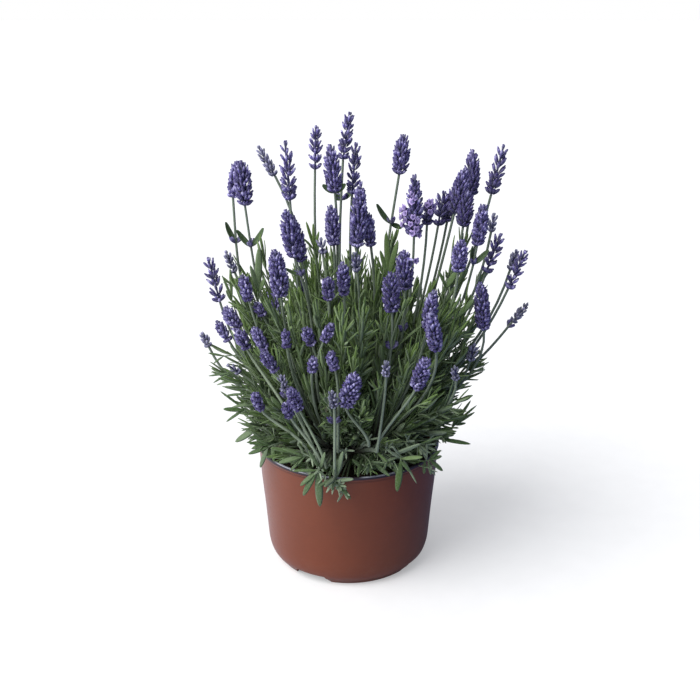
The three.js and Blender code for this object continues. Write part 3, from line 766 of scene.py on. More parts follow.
def grow(piece, tree, **values):
    """Runs a tree on a piece with values for its named inputs, and leaves the result as a plain mesh."""
    modifier = piece.modifiers.new(tree.name, "NODES")
    modifier.node_group = tree
    for socket in tree.interface.items_tree:
        if socket.in_out == "INPUT" and socket.name in values:
            modifier[socket.identifier] = values[socket.name]
    view = bpy.context.evaluated_depsgraph_get()
    grown = bpy.data.meshes.new_from_object(
        piece.evaluated_get(view), preserve_all_data_layers=True, depsgraph=view
    )
    seeds = piece.data
    piece.modifiers.clear()
    piece.data = grown
    bpy.data.meshes.remove(seeds)
    grown.name = piece.name


def shape_set(name, meshes):
    """A collection of shapes for a tree to pick from, in the order of their numbers."""
    shapes = bpy.data.collections.new(name)
    for number, mesh in enumerate(meshes):
        shapes.objects.link(bpy.data.objects.new(f"{name}_{number}", mesh))
    return shapes


def clear_shapes(shapes):
    for shape in list(shapes.objects):
        bpy.data.objects.remove(shape)
    bpy.data.collections.remove(shapes)


def points_piece(name, sprouts, marks):
    """A mesh of loose points, one for each sprout, that carries its turn, size, shape number and marks."""
    mesh = bpy.data.meshes.new(name)
    mesh.from_pydata([tuple(sprout.root) for sprout in sprouts], [], [])
    turns = [part for sprout in sprouts for part in sprout.turn]
    sizes = [part for sprout in sprouts for part in sprout.size]
    shapes = [sprout.shape for sprout in sprouts]
    mesh.attributes.new("turn", "QUATERNION", "POINT").data.foreach_set("value", turns)
    mesh.attributes.new("size", "FLOAT_VECTOR", "POINT").data.foreach_set("vector", sizes)
    mesh.attributes.new("shape", "INT", "POINT").data.foreach_set("value", shapes)
    write_marks(mesh, **{label: [getattr(sprout, label) for sprout in sprouts] for label in marks})
    return place_in_scene(mesh)


def facing(along, normal):
    """The turn that brings +Y to `along` and +Z as near as it can to `normal`."""
    along = along.normalized()
    across = along.cross(normal).normalized()
    return Matrix((across, along, across.cross(along))).transposed().to_quaternion()


# ---- Materials -----------------------------------------------------------------------------------

HAIR_RELIEF = 0.0002  # how far the fine hairs stand out of a surface


def noise(tree, scale, detail=2.0, roughness=0.5):
    """The value of a noise over the object, with its grain set by a number or a socket."""
    where = add(tree, "ShaderNodeTexCoord").outputs["Object"]
    values = {"Vector": where, "Scale": scale, "Detail": detail, "Roughness": roughness}
    return add(tree, "ShaderNodeTexNoise", values).outputs["Fac"]


def spread(tree, value, low, high, to_low=0.0, to_high=1.0):
    """Maps low to high onto to_low to to_high, and holds at the ends."""
    values = {"Value": value, "From Min": low, "From Max": high, "To Min": to_low, "To Max": to_high}
    return add(tree, "ShaderNodeMapRange", values).outputs["Result"]


def mixed(tree, factor, first, second):
    """A colour between two others, each a constant or a socket."""
    return add(tree, "ShaderNodeMix", {0: factor, 6: first, 7: second}, data_type="RGBA").outputs[2]


def mottle_group():
    """Patches of a second colour, in two sizes of grain."""
    inputs = [
        ("Colour", "NodeSocketColor", (0.5, 0.5, 0.5, 1)),
        ("Patch Colour", "NodeSocketColor", (0.3, 0.3, 0.3, 1)),
        ("Grain", "NodeSocketFloat", 60.0),
        ("Amount", "NodeSocketFloat", 0.5),
    ]
    outputs = [("Colour", "NodeSocketColor", None)]
    tree, incoming, outgoing = new_group("Mottle", "ShaderNodeTree", inputs, outputs)
    coarse = noise(tree, incoming.outputs["Grain"], 4.0, 0.6)
    mask = times(tree, spread(tree, coarse, 0.38, 0.66), incoming.outputs["Amount"])
    colour = mixed(tree, mask, incoming.outputs["Colour"], incoming.outputs["Patch Colour"])
    tree.links.new(colour, outgoing.inputs["Colour"])
    return tree


def down_group():
    """The fine pale hairs of lavender: they lighten the colour in flecks and roughen the surface."""
    inputs = [
        ("Colour", "NodeSocketColor", (0.5, 0.5, 0.5, 1)),
        ("Down Colour", "NodeSocketColor", (0.6, 0.65, 0.6, 1)),
        ("Amount", "NodeSocketFloat", 0.3),
        ("Grain", "NodeSocketFloat", 900.0),
    ]
    outputs = [("Colour", "NodeSocketColor", None), ("Height", "NodeSocketFloat", None)]
    tree, incoming, outgoing = new_group("Soft Down", "ShaderNodeTree", inputs, outputs)
    flecks = spread(tree, noise(tree, incoming.outputs["Grain"], 3.0, 0.7), 0.42, 0.7)
    cover = times(tree, flecks, incoming.outputs["Amount"])
    colour = mixed(tree, cover, incoming.outputs["Colour"], incoming.outputs["Down Colour"])
    tree.links.new(colour, outgoing.inputs["Colour"])
    tree.links.new(flecks, outgoing.inputs["Height"])
    return tree


def group_node(tree, group, **values):
    """A node group in a material, with constants or sockets for its inputs."""
    values = {label.replace("_", " "): value for label, value in values.items()}
    return add(tree, "ShaderNodeGroup", values, node_tree=group)


def mark(tree, label):
    """A mark of the mesh that a material is on."""
    return add(tree, "ShaderNodeAttribute", attribute_name=label).outputs["Fac"]


def new_material(name, roughness, **constants):
    """A material with one Principled BSDF, whose unvarying numbers stay on its own sockets."""
    material = bpy.data.materials.new(name)
    material.use_nodes = True
    surface = material.node_tree.nodes["Principled BSDF"]
    surface.inputs["Roughness"].default_value = roughness
    for label, value in constants.items():
        surface.inputs[label.replace("_", " ")].default_value = value
    return material.node_tree, surface, material


def bumped(tree, surface, height, strength, distance):
    bump = add(tree, "ShaderNodeBump", {"Height": height, "Strength": strength, "Distance": distance})
    tree.links.new(bump.outputs["Normal"], surface.inputs["Normal"])


def downy(tree, surface, colour, hair_colour, amount, grain, strength):
    """Gives a surface its colour under a share of fine hairs, which also roughen it."""
    down = shared_group("Soft Down", down_group)
    hairs = group_node(tree, down, Colour=colour, Down_Colour=hair_colour, Amount=amount, Grain=grain)
    tree.links.new(hairs.outputs["Colour"], surface.inputs["Base Color"])
    bumped(tree, surface, hairs.outputs["Height"], strength, HAIR_RELIEF)


def mottled(tree, colour, patch_colour, grain, amount):
    """A constant colour with patches of another."""
    mottle = shared_group("Mottle", mottle_group)
    patches = group_node(tree, mottle, Colour=colour, Patch_Colour=patch_colour, Grain=grain, Amount=amount)
    return patches.outputs["Colour"]


def rgba(colour):
    return (colour[0], colour[1], colour[2], 1.0)


def shade(colour, share):
    """A colour made darker or lighter by a share."""
    return tuple(min(1.0, part * share) for part in colour[:3]) + (1.0,)


def leaf_material(colours):
    """Grey-green, brighter on young shoots, brown on old leaves, with a pale underside, and silvery on small
    leaves."""
    tree, surface, material = new_material("leaf", 0.55, Sheen_Weight=0.12, Specular_IOR_Level=0.3)
    tint, along, upper, silver = (mark(tree, label) for label in ("tint", "along", "upper", "silver"))
    green = mixed(tree, spread(tree, tint, 0.0, 1.0), rgba(colours.leaf), rgba(colours.young_leaf))
    green = mixed(tree, spread(tree, tint, -0.25, -1.0), green, (0.10, 0.058, 0.022, 1))
    green = mixed(tree, times(tree, silver, 0.8), green, rgba(colours.silver))
    green = mixed(tree, spread(tree, upper, 0.5, 0.0, 0.0, 0.4), green, rgba(colours.silver))
    green = mixed(tree, spread(tree, along, 0.3, 0.0, 0.0, 0.4), green, shade(colours.leaf, 0.5))
    downy(tree, surface, green, shade(colours.silver, 1.3), amount=0.22, grain=700.0, strength=0.25)
    return material


def stem_material(colours):
    """Brown bark at the base, silvery green above."""
    tree, surface, material = new_material("stem", 0.6, Sheen_Weight=0.15, Specular_IOR_Level=0.35)
    share, tint, silver = (mark(tree, label) for label in ("share", "tint", "silver"))
    green = mixed(tree, spread(tree, tint, 0.0, 1.0), rgba(colours.stem), rgba(colours.young_leaf))
    green = mixed(tree, silver, green, rgba(colours.silver))
    green = mixed(tree, spread(tree, tint, 0.0, -1.0), green, shade(colours.calyx, 1.2))
    bark = mottled(tree, (0.06, 0.04, 0.025, 1), (0.15, 0.12, 0.085, 1), grain=350.0, amount=0.8)
    colour = mixed(tree, spread(tree, share, 0.10, 0.30), bark, green)
    downy(tree, surface, colour, shade(colours.silver, 1.3), amount=0.25, grain=900.0, strength=0.3)
    return material


def calyx_material(colours):
    """Violet with a pale tip and pale ribs, painted shade that turns it near black near the stalk, grey-green
    on young heads, and deep violet where a bud shows in its mouth."""
    tree, surface, material = new_material("calyx", 0.62, Sheen_Weight=0.12, Specular_IOR_Level=0.3)
    labels = ("tint", "along", "rib", "bud", "youth")
    tint, along, ribs, bud, youth = (mark(tree, label) for label in labels)
    violet = mixed(tree, spread(tree, tint, 0.1, 1.0), rgba(colours.calyx), rgba(colours.pale_calyx))
    tips = times(tree, spread(tree, along, 0.58, 0.78), spread(tree, tint, 0.2, 0.85))
    violet = mixed(tree, tips, violet, rgba(colours.calyx_tip))
    # Painted shade: each calyx turns near black towards its root, in the crowd round the head's core.
    violet = mixed(tree, spread(tree, along, 0.5, 0.15, 0.0, 0.85), violet, (0.010, 0.010, 0.020, 1))
    violet = mixed(tree, times(tree, youth, 0.75), violet, (0.165, 0.185, 0.185, 1))
    violet = mixed(tree, times(tree, bud, 0.9), violet, rgba(colours.bud))
    violet = mixed(tree, times(tree, ribs, 0.25), violet, rgba(colours.calyx_tip))
    downy(tree, surface, violet, rgba(colours.calyx_tip), amount=0.13, grain=900.0, strength=0.35)
    return material


def corolla_material(colours):
    """Lilac petals, deeper in the throat."""
    tree, surface, material = new_material("corolla", 0.55, Sheen_Weight=0.2, Specular_IOR_Level=0.3)
    along, tint = mark(tree, "along"), mark(tree, "tint")
    lilac = mixed(tree, tint, shade(colours.corolla, 0.75), shade(colours.corolla, 1.5))
    lilac = mixed(tree, spread(tree, along, 0.9, 0.45, 0.0, 0.9), lilac, rgba(colours.bud))
    downy(tree, surface, lilac, (0.75, 0.68, 0.9, 1), amount=0.2, grain=900.0, strength=0.2)
    return material


def pot_material(colours):
    """Satin moulded plastic, terracotta brown, with faint flow marks and scuffs, dust near the foot, painted
    shade on the lip and in a dark line at the crease below it, and a painted highlight in patches along the
    lip's edge."""
    tree, surface, material = new_material("pot_plastic", 0.34, Specular_IOR_Level=0.36)
    where = add(tree, "ShaderNodeTexCoord").outputs["Object"]
    height = add(tree, "ShaderNodeSeparateXYZ", {0: where}).outputs["Z"]
    body = mottled(tree, rgba(colours.pot), shade(colours.pot, 0.8), grain=26.0, amount=0.4)
    flow = add(tree, "ShaderNodeMapping", {"Vector": where, "Scale": (1, 1, 9)}).outputs["Vector"]
    streaks = add(tree, "ShaderNodeTexNoise", {"Vector": flow, "Scale": 90.0, "Detail": 4.0}).outputs["Fac"]
    colour = mixed(tree, spread(tree, streaks, 0.45, 0.75, 0.0, 0.08), body, shade(colours.pot, 1.5))
    # Painted shade: a thin near-black line at the crease under the lip, where the lip's underside throws
    # shade.
    near_crease = {0: height, 1: POT_HEIGHT - 0.0048, 2: 0.0012}
    painted_crease_shade = add(tree, "ShaderNodeMath", near_crease, operation="COMPARE").outputs["Value"]
    colour = mixed(tree, spread(tree, painted_crease_shade, 0.0, 1.0, 0.0, 0.25), colour, (0.012, 0.010, 0.012, 1))
    # Painted shade: the lip band just below the rim is near black, the shade of the leaves that hang over it.
    lip = spread(tree, height, POT_HEIGHT - 0.0030, POT_HEIGHT - 0.0022)
    colour = mixed(tree, times(tree, lip, 0.92), colour, (0.016, 0.016, 0.028, 1))
    # Painted highlight: pale bluish patches along the top edge of the lip, where it reflects the sky.
    edge = spread(tree, height, POT_HEIGHT - 0.0007, POT_HEIGHT - 0.0003)
    painted_highlight = times(tree, edge, spread(tree, noise(tree, 32.0, 1.0), 0.52, 0.58))
    colour = mixed(tree, times(tree, painted_highlight, 0.6), colour, (0.62, 0.65, 0.74, 1))
    specks = spread(tree, noise(tree, 140.0, 5.0, 0.7), 0.45, 0.7)
    dust = times(tree, spread(tree, height, 0.03, 0.0), specks)
    colour = mixed(tree, times(tree, dust, 0.2), colour, (0.22, 0.15, 0.11, 1))
    tree.links.new(colour, surface.inputs["Base Color"])
    scuffs = spread(tree, noise(tree, 420.0, 4.0, 0.75), 0.5, 0.75)
    dull = add(tree, "ShaderNodeMath", {0: scuffs, 1: dust}).outputs["Value"]
    tree.links.new(spread(tree, dull, 0.0, 1.4, 0.32, 0.5), surface.inputs["Roughness"])
    bumped(tree, surface, streaks, 0.05, 0.0004)
    return material


def compost_material():
    """Dark damp peat with paler fibres."""
    tree, surface, material = new_material("compost", 0.92, Specular_IOR_Level=0.25)
    peat = mottled(tree, (0.018, 0.011, 0.007, 1), (0.075, 0.045, 0.026, 1), grain=260.0, amount=0.9)
    tree.links.new(peat, surface.inputs["Base Color"])
    bumped(tree, surface, noise(tree, 900.0, 5.0, 0.7), 0.8, 0.0008)
    return material


def floor_material():
    """Pale matt paper. To the plant and the pot it is dark and bluish on its right, painted shade; to the
    camera it glows faintly, painted light that lifts the shadows on it.
    """
    tree, surface, material = new_material("studio_paper", 0.9, Specular_IOR_Level=0.1)
    # Painted light: the floor glows for the camera only, which lifts the shadows on it.
    surface.inputs["Emission Strength"].default_value = 0.34
    grain = spread(tree, noise(tree, 40.0, 3.0), 0.3, 0.7, 0.93, 0.96)
    where = add(tree, "ShaderNodeTexCoord").outputs["Object"]
    side = add(tree, "ShaderNodeSeparateXYZ", {0: where}).outputs["X"]
    # Painted shade: the floor, as the plant and the pot see it, turns dark and bluish to the right of the
    # axis.
    painted_floor_shade = mixed(tree, spread(tree, side, -0.2, 0.2), (0.9, 0.9, 0.95, 1), (0.15, 0.19, 0.34, 1))
    seen = add(tree, "ShaderNodeLightPath").outputs["Is Camera Ray"]
    tree.links.new(mixed(tree, seen, painted_floor_shade, times(tree, grain, 0.66)), surface.inputs["Base Color"])
    painted_glow = mixed(tree, seen, (0, 0, 0, 1), (1, 1, 1, 1))
    tree.links.new(painted_glow, surface.inputs["Emission Color"])
    return material


# ---- The pot and the compost ---------------------------------------------------------------------

LIP_ROUND = 0.0009  # the radius of the pot's upper edge
NOTCH_COUNT = 4
NOTCH_TURN = math.radians(29)
NOTCH_WIDTH = 0.037
NOTCH_TOP = 0.029
NOTCH_HEIGHT = 0.0085
NOTCH_DEPTH = 0.020
NOTCH_INSIDE = 0.4  # the share of its depth that lies inside the foot's radius
POT_CREASE = math.radians(32)  # edges of the pot that turn more than this are sharp


def arc(centre, radius, start, end, steps):
    """Points of an arc in the radius and height plane, with its angles in degrees."""
    angles = [math.radians(start + (end - start) * i / steps) for i in range(steps + 1)]
    return [(centre[0] + radius * math.cos(a), centre[1] + radius * math.sin(a)) for a in angles]


def pot_outline():
    """The pot's wall in the radius and height plane: the outside from the axis up, the lip, and the inside
    down."""
    foot = [(0, 0), (POT_FOOT - 0.001, 0)]
    foot += arc((POT_FOOT - 0.0008, 0.0012), 0.0012, -90, -10, 3)
    foot += [(POT_FOOT + 0.0034, 0.0047)]
    step = [(POT_FOOT + 0.0040, 0.0052), (POT_FOOT + 0.0046, 0.0058)]
    belly = [(POT_FOOT + 0.0066, 0.009), (POT_FOOT + 0.0076, 0.0118), (POT_FOOT + 0.0085, 0.0155)]
    belly += [(POT_FOOT + 0.0091, 0.0195), (POT_FOOT + 0.0096, 0.026), (POT_FOOT + 0.0118, 0.055)]
    neck = [(POT_RIM - 0.00245, 0.085), (POT_RIM - 0.0010, POT_HEIGHT - 0.0044)]
    lip = arc((POT_RIM - 0.0007, POT_HEIGHT - 0.0031), 0.0007, -70, 0, 3)
    lip += arc((POT_RIM - LIP_ROUND, POT_HEIGHT - LIP_ROUND), LIP_ROUND, 0, 90, 4)
    lip += arc((POT_RIM - 0.0018, POT_HEIGHT - 0.0006), 0.0006, 90, 180, 3)
    inside = [(POT_RIM - 0.0026, POT_HEIGHT - 0.0046), (POT_FOOT + 0.0080, 0.026)]
    inside += [(POT_FOOT + 0.0050, 0.009), (POT_FOOT, POT_FLOOR), (0, POT_FLOOR)]
    return foot + step + belly + neck + lip + inside


def lathed(outline, sides):
    """A closed mesh turned round the axis from an outline that starts and ends on it."""
    angles = [i * TURN / sides for i in range(sides)]
    rings = []
    for radius, height in outline:
        if radius == 0:
            rings.append([Vector((0, 0, height))])
        else:
            rings.append([Vector((radius * math.cos(a), radius * math.sin(a), height)) for a in angles])
    return loft(rings)


def notch_cutter(number):
    """A trapezoid block that cuts one drainage notch out of the foot."""
    half, short = NOTCH_WIDTH / 2, NOTCH_TOP / 2
    outline = [(-half, -MM), (half, -MM), (half, 0)]
    outline += [(short, NOTCH_HEIGHT), (-short, NOTCH_HEIGHT), (-half, 0)]
    front = -POT_FOOT + NOTCH_DEPTH * NOTCH_INSIDE - NOTCH_DEPTH
    rings = [[Vector((x, front + depth, z)) for x, z in outline] for depth in (0, NOTCH_DEPTH)]
    turn = Matrix.Rotation(number * TURN / NOTCH_COUNT - NOTCH_TURN, 3, "Z")
    corners, faces = loft(rings)
    corners, faces = [turn @ corner for corner in corners], [face[::-1] for face in faces]
    return place_in_scene(mesh_from(f"notch_{number}", corners, faces))


def build_pot(sizes, colours):
    """The pot: its wall turned round the axis, with the drainage notches cut out of the foot."""
    corners, faces = lathed(pot_outline(), sizes.sides)
    pot = place_in_scene(mesh_from("nursery_pot", corners, faces))
    cutters = [notch_cutter(number) for number in range(NOTCH_COUNT)]
    for cutter in cutters:
        cut = pot.modifiers.new(cutter.name, "BOOLEAN")
        cut.operation = "DIFFERENCE"
        cut.solver = "EXACT"
        cut.object = cutter
    view = bpy.context.evaluated_depsgraph_get()
    mesh = bpy.data.meshes.new_from_object(pot.evaluated_get(view), depsgraph=view)
    pot.modifiers.clear()
    pot.data = mesh
    for cutter in cutters:
        bpy.data.objects.remove(cutter)
    mesh.set_sharp_from_angle(angle=POT_CREASE)
    mesh.materials.clear()
    mesh.materials.append(pot_material(colours))
    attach(pot, BODY)
    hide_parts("pot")


CRUMB_SHAPES = 3
CRUMB_SIDES = 5
COMPOST_SIDES = 72
COMPOST_STEPS = 22  # rings from the brink of the compost to its middle
COMPOST_GAP = 0.0003  # between the pot's floor and the compost


def crumb_shapes():
    """Rough lumps of a few faces, of unit size."""
    draw = random.Random(SEED)
    meshes = []
    for number in range(CRUMB_SHAPES):
        rings = [[Vector((0, 0, -0.5))]]
        for height, radius in ((-0.28, 0.42), (0.22, 0.46)):
            ring = []
            for i in range(CRUMB_SIDES):
                angle = (i + 0.3 * number) * TURN / CRUMB_SIDES
                out = radius * draw.uniform(0.75, 1.15)
                up = height * draw.uniform(0.8, 1.2)
                ring.append(Vector((out * math.cos(angle), out * math.sin(angle), up)))
            rings.append(ring)
        rings.append([Vector((0.05, -0.04, 0.5))])
        corners, faces = loft(rings)
        meshes.append(mesh_from(f"crumb_{number}", corners, faces))
    return meshes


def compost_outline():
    """The compost in the radius and height plane: from the pot's floor up the wall, and over a low dome."""
    brink = POT_RIM - LIP_ROUND - POT_WALL - LIP_ROUND
    bottom = POT_FLOOR + COMPOST_GAP
    outline = [(0, bottom), (POT_FOOT - 0.003, bottom), (POT_FOOT + 0.0047, 0.009)]
    outline += [(POT_FOOT + 0.0077, 0.026), (brink, SOIL_TOP - 0.002)]
    crown = SOIL_DOME * 0.9
    for i in range(1, COMPOST_STEPS):
        share = i / COMPOST_STEPS
        outline.append((brink * (1 - share), SOIL_TOP + crown * math.sin(share * math.pi / 2) - MM))
    return outline + [(0, SOIL_TOP + crown - MM)]


def lump_at(x, y):
    """How far the compost's surface rises at a place, in lumps of three sizes."""
    lump = math.sin(x * 190) * math.cos(y * 230 + 1) + 0.5 * math.sin(x * 610 + 2)
    return 0.0007 * lump * math.cos(y * 540)


def build_compost(sizes):
    """The compost: a dome with lumps on top, and crumbs strewn over it."""
    corners, faces = lathed(compost_outline(), COMPOST_SIDES)
    for corner in corners:
        if corner.z > SOIL_TOP - 0.0015:
            corner.z += lump_at(corner.x, corner.y)
    compost = place_in_scene(mesh_from("compost_fill", corners, faces))
    crumbs = shape_set("crumb", crumb_shapes())
    grow(compost, crumb_tree(), Crumbs=crumbs, Density=sizes.crumbs, Seed=SEED, Finish=compost_material())
    clear_shapes(crumbs)
    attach(compost, BODY)
    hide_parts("compost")


# ---- Stems ---------------------------------------------------------------------------------------

# The woody base of a bunch: its height above the compost's brink and its radius there.
STUMP = [
    (-0.0297, 0.0033), (-0.002, 0.0034), (0.005, 0.0042), (0.010, 0.0062), (0.015, 0.0074), (0.020, 0.0038),
]
STEM_SIDES = 6
# Painted light: stalks in front of this are painted paler and more silvery, those behind darker.
LIT_FRONT = -0.03  # stalks whose head stands in front of this are pale and silvery

# The core of a flower head: shares of its length, and its girth there as a multiple of the manner's core.
CORE_SHARES = (-0.02, 0.08, 0.3, 0.6, 0.8, 0.92)
CORE_GIRTHS = (0, 0.8, 1.3, 1.2, 0.7, 0)


def course_marks(points, low, high):
    """The thickness and share of each point of a stem that tapers from its base."""
    last = len(points) - 1
    return [(low + (high - low) * (i / last) ** 0.6, i / last) for i in range(len(points))]


def stem_courses(bunch, sizes):
    """Every stem of a bunch: points, (thickness, share) at each, a tint and how silvery it is."""
    draw = random.Random(SEED + bunch)
    courses = []
    stump = [bunch_foot(bunch, SOIL_TOP + height) for height, _ in STUMP]
    courses.append((stump, [(radius, 0.0) for _, radius in STUMP], 0.0, 0.0))
    for stalk in in_bunch(bunch, STALKS):
        head = stalk.head
        marks = course_marks(stalk.points, sizes.stalk * 1.4, sizes.stalk)
        # Painted light: stalks in front are paler and more silvery, those behind darker.
        painted_light_share = 1.0 if head.foot.y < LIT_FRONT else 0.2
        courses.append((stalk.points, marks, draw.uniform(0.0, 0.2) * painted_light_share, draw.uniform(0.3, 0.6) * painted_light_share))
        spine = [head.foot.lerp(head.tip, share) for share in CORE_SHARES]
        core = MANNERS[head.manner].core * head.wide
        girths = [(max(sizes.stalk * 0.8, core * girth), 1.0) for girth in CORE_GIRTHS]
        courses.append((spine, girths, -1.0, 0.0))
    for shoot in in_bunch(bunch, SHOOTS, TWIGS, TUFT_TWIGS):
        marks = course_marks(shoot.points, sizes.stalk * 1.3, sizes.stalk * 0.5)
        courses.append((shoot.points, marks, draw.uniform(0.1, 0.6), 0.0))
    return courses


def build_stems(sizes, colours):
    """For each bunch, its woody base, its stalks with the cores of their heads, and its shoots and twigs."""
    finish = stem_material(colours)
    tree = stem_tree()
    for bunch in range(BUNCHES):
        places, lines, thick, share, tint, silver = [], [], [], [], [], []
        for points, marks, colour, down_share in stem_courses(bunch, sizes):
            first = len(places)
            places += [tuple(point) for point in points]
            lines += [(first + i, first + i + 1) for i in range(len(points) - 1)]
            thick += [girth for girth, _ in marks]
            share += [part for _, part in marks]
            tint += [colour] * len(points)
            silver += [down_share] * len(points)
        mesh = bpy.data.meshes.new(f"stems_{bunch + 1}")
        mesh.from_pydata(places, lines, [])
        write_marks(mesh, thick=thick, share=share, tint=tint, silver=silver)
        stems = place_in_scene(mesh)
        grow(stems, tree, Sides=STEM_SIDES, Girth=1.0, Finish=finish)
        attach(stems, BODY)
        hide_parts(f"leafy_bunch_{bunch + 1}")


# ---- Leaves --------------------------------------------------------------------------------------

SHOOT_BARE = 0.26  # the share of a shoot below its first leaves
OLD_SHARE = 0.45  # the share of a shoot where some leaves are brown
WIDEST_LEAF = 0.0056
TIP_LEAVES = 6
STALK_JOINT = 0.013  # the space between the pairs of leaves on a flower stalk
LOW_STALK_LEAVES = (0.45, 0.62)  # where they start and stop, as shares of a stalk from a low branch
STALK_LEAVES = (0.16, 0.42)  # and of the other stalks
SPRAY_STEP = 0.0022  # the space between the pairs of a spray
BRACT_FRONT = Vector((0, -0.8, 0))  # how far the upper face of a bract is turned to the front
LEAF_TRIALS = (0.45, 0.65, 0.82, 1.0)  # the sizes that a leaf without room is tried at

# The room that leaves keep. The first three are for leaves in front of something that the photograph shows.
STALK_MARGIN = 3.0  # pixels beside a seen stalk
WHORL_MARGIN = 6.0  # pixels round a whorl below a head
HEAD_MARGIN = 0.9  # beside a head's axis, as a share of its half width
HEAD_ROOM = 0.8  # round any head, as a share of its half width
WALL_ROOM = 0.004  # on both sides of the pot's rim
RIM_ROOM = (0.006, 0.004)  # from the rim inwards and above it, at the places of CLEAR_RIM
RIM_FRONT = -0.02  # those places are in front of this

# A leaf of unit length: its width at shares of its length, and its section there, with marks for the upper
# face.
LEAF_SHARES = [0.0, 0.07, 0.22, 0.42, 0.62, 0.80, 0.93]
LEAF_WIDTHS = [0.26, 0.42, 0.80, 1.0, 0.97, 0.78, 0.46]
LEAF_SECTION = [(-0.5, -0.014), (0.0, -0.030), (0.5, -0.014), (0.27, 0.015), (0.0, 0.001), (-0.27, 0.015)]
LEAF_UPPER = [0.5, 0.0, 0.5, 1.0, 1.0, 1.0]
LEAF_BENDS = [0.16, 0.05, -0.08, -0.22, 0.75]  # how far the tip of each shape leaves the straight line
BRACT = 4  # the number of the bract's shape, a boat
BRACT_SECTION = [(-0.5, 0.15), (-0.38, 0.02), (0.0, -0.06), (0.38, 0.02)]
BRACT_SECTION += [(0.5, 0.15), (0.30, 0.10), (0.0, 0.03), (-0.30, 0.10)]
BRACT_UPPER = [0.5, 0.0, 0.0, 0.0, 0.5, 1.0, 1.0, 1.0]


def leaf_shape(number, bend):
    """A leaf of unit length and width along +Y, with rolled margins, a groove above the midrib and a keel
    below."""
    section, sides = (BRACT_SECTION, BRACT_UPPER) if number == BRACT else (LEAF_SECTION, LEAF_UPPER)
    rings, along, upper = [], [], []
    for share, width in zip(LEAF_SHARES, LEAF_WIDTHS):
        ring = []
        for (x, z), side in zip(section, sides):
            x, z = x * width, z * (0.4 + 0.6 * width)
            ring.append(Vector((x, share, z + bend * share * share)))
            along.append(share)
            upper.append(side)
        rings.append(ring)
    rings.append([Vector((0, 1.0, bend))])
    corners, faces = loft(rings)
    return mesh_from(f"leaf_{number}", corners, faces, along=[*along, 1.0], upper=[*upper, 1.0])


def leaf_sprout(root, along, out, opening, length, width, tint, shape, silver=0.0):
    """A leaf that opens from its stem by an angle in degrees, with its upper face turned to the stem."""
    opening = math.radians(opening)
    direction = along * math.cos(opening) + out * math.sin(opening)
    face = along * math.sin(opening) - out * math.cos(opening)
    return SimpleNamespace(
        root=root,
        turn=facing(direction, face),
        size=(width, length, length),
        tint=tint,
        silver=silver,
        shape=shape,
        middle=root + direction * (length * 0.5) + face * (LEAF_BENDS[shape] * length * 0.25),
        tip=root + direction * length + face * (LEAF_BENDS[shape] * length),
    )


def axil_leaves(place, along, out, first_angle, tint, upright, sizes, draw):
    """The small leaves on a short twig in the axil of a leaf."""
    leaves = []
    level, up = sideways(along)
    pale = draw.uniform(0.1, 0.9) * (1 - 0.6 * upright)
    twig = (along * 0.75 + out * 0.65).normalized()
    for number in range(sizes.tuft):
        angle = first_angle + number * TURN / sizes.tuft + draw.uniform(-0.5, 0.5)
        away = round_stem(level, up, angle)
        away = (away - twig * away.dot(twig)).normalized()
        leaves.append(leaf_sprout(
            place + twig * 0.002 * number, twig, away, draw.uniform(14, 42),
            sizes.leaf * draw.uniform(0.28, 0.55), sizes.leaf_width * draw.uniform(0.45, 0.7),
            tint + draw.uniform(0.0, 0.3), draw.choice((0, 1)), pale,
        ))
    return leaves


def tip_leaves(shoot, turn, bright, sizes, draw):
    """The tuft at the tip of a shoot."""
    top = shoot.points[-1]
    along = (top - shoot.points[-2]).normalized()
    level, up = sideways(along)
    leaves = []
    for number in range(TIP_LEAVES):
        out = round_stem(level, up, number * TURN / TIP_LEAVES + turn)
        leaves.append(leaf_sprout(
            top - along * 0.002, along, out, draw.uniform(8, 26),
            sizes.leaf * draw.uniform(0.4, 0.75), sizes.leaf_width * draw.uniform(0.55, 0.85),
            bright + draw.uniform(0.1, 0.4), draw.choice((0, 1)),
        ))
    return leaves


def shoot_leaves(shoot, sizes, draw):
    """Opposite pairs that cross from joint to joint, small leaves in some axils, and a tuft at the tip."""
    leaves = []
    upright = min(max(shoot.rise + 0.3, 0) / 2, 1)
    bright = draw.uniform(-0.1, 0.3) + 0.14 * min(max(shoot.rise, 0), 4)
    turn = draw.uniform(0, TURN)
    for place, along, share in stations(shoot.points, SHOOT_BARE, sizes.joint * draw.uniform(0.9, 1.15)):
        level, up = sideways(along)
        turn += math.pi / 2 + draw.uniform(-0.25, 0.25)
        grown = min(1.0, 0.6 + 1.3 * (share - SHOOT_BARE)) * (1 - 0.4 * max(0.0, share - 0.75) / 0.25)
        for side in (0, math.pi):
            out = round_stem(level, up, turn + side)
            opening = 62 - 32 * upright - 16 * share + draw.uniform(-14, 14)
            length = sizes.leaf * grown * draw.uniform(0.7, 1.15) * (1 - 0.15 * upright)
            width = sizes.leaf_width * (1.15 - 0.45 * upright) * draw.uniform(0.7, 1.3)
            if draw.random() < 0.2:
                width = min(width * 1.5, WIDEST_LEAF)
            tint = bright * (0.4 + 0.6 * share) + draw.uniform(-0.1, 0.2)
            if share < OLD_SHARE and draw.random() < 0.08:
                tint = draw.uniform(-1.0, -0.4)
            shape = draw.choices((0, 1, 2, 3), (4, 4, 2, 1))[0]
            silver = draw.random() ** 2 * 0.75 * (1 - 0.4 * upright) * (0.5 + 0.5 * share)
            leaves.append(leaf_sprout(place, along, out, opening, length, width, tint, shape, silver))
            if draw.random() <= sizes.axils and share <= 0.93:
                leaves += axil_leaves(place, along, out, turn + side, tint, upright, sizes, draw)
    return leaves + tip_leaves(shoot, turn, bright, sizes, draw)


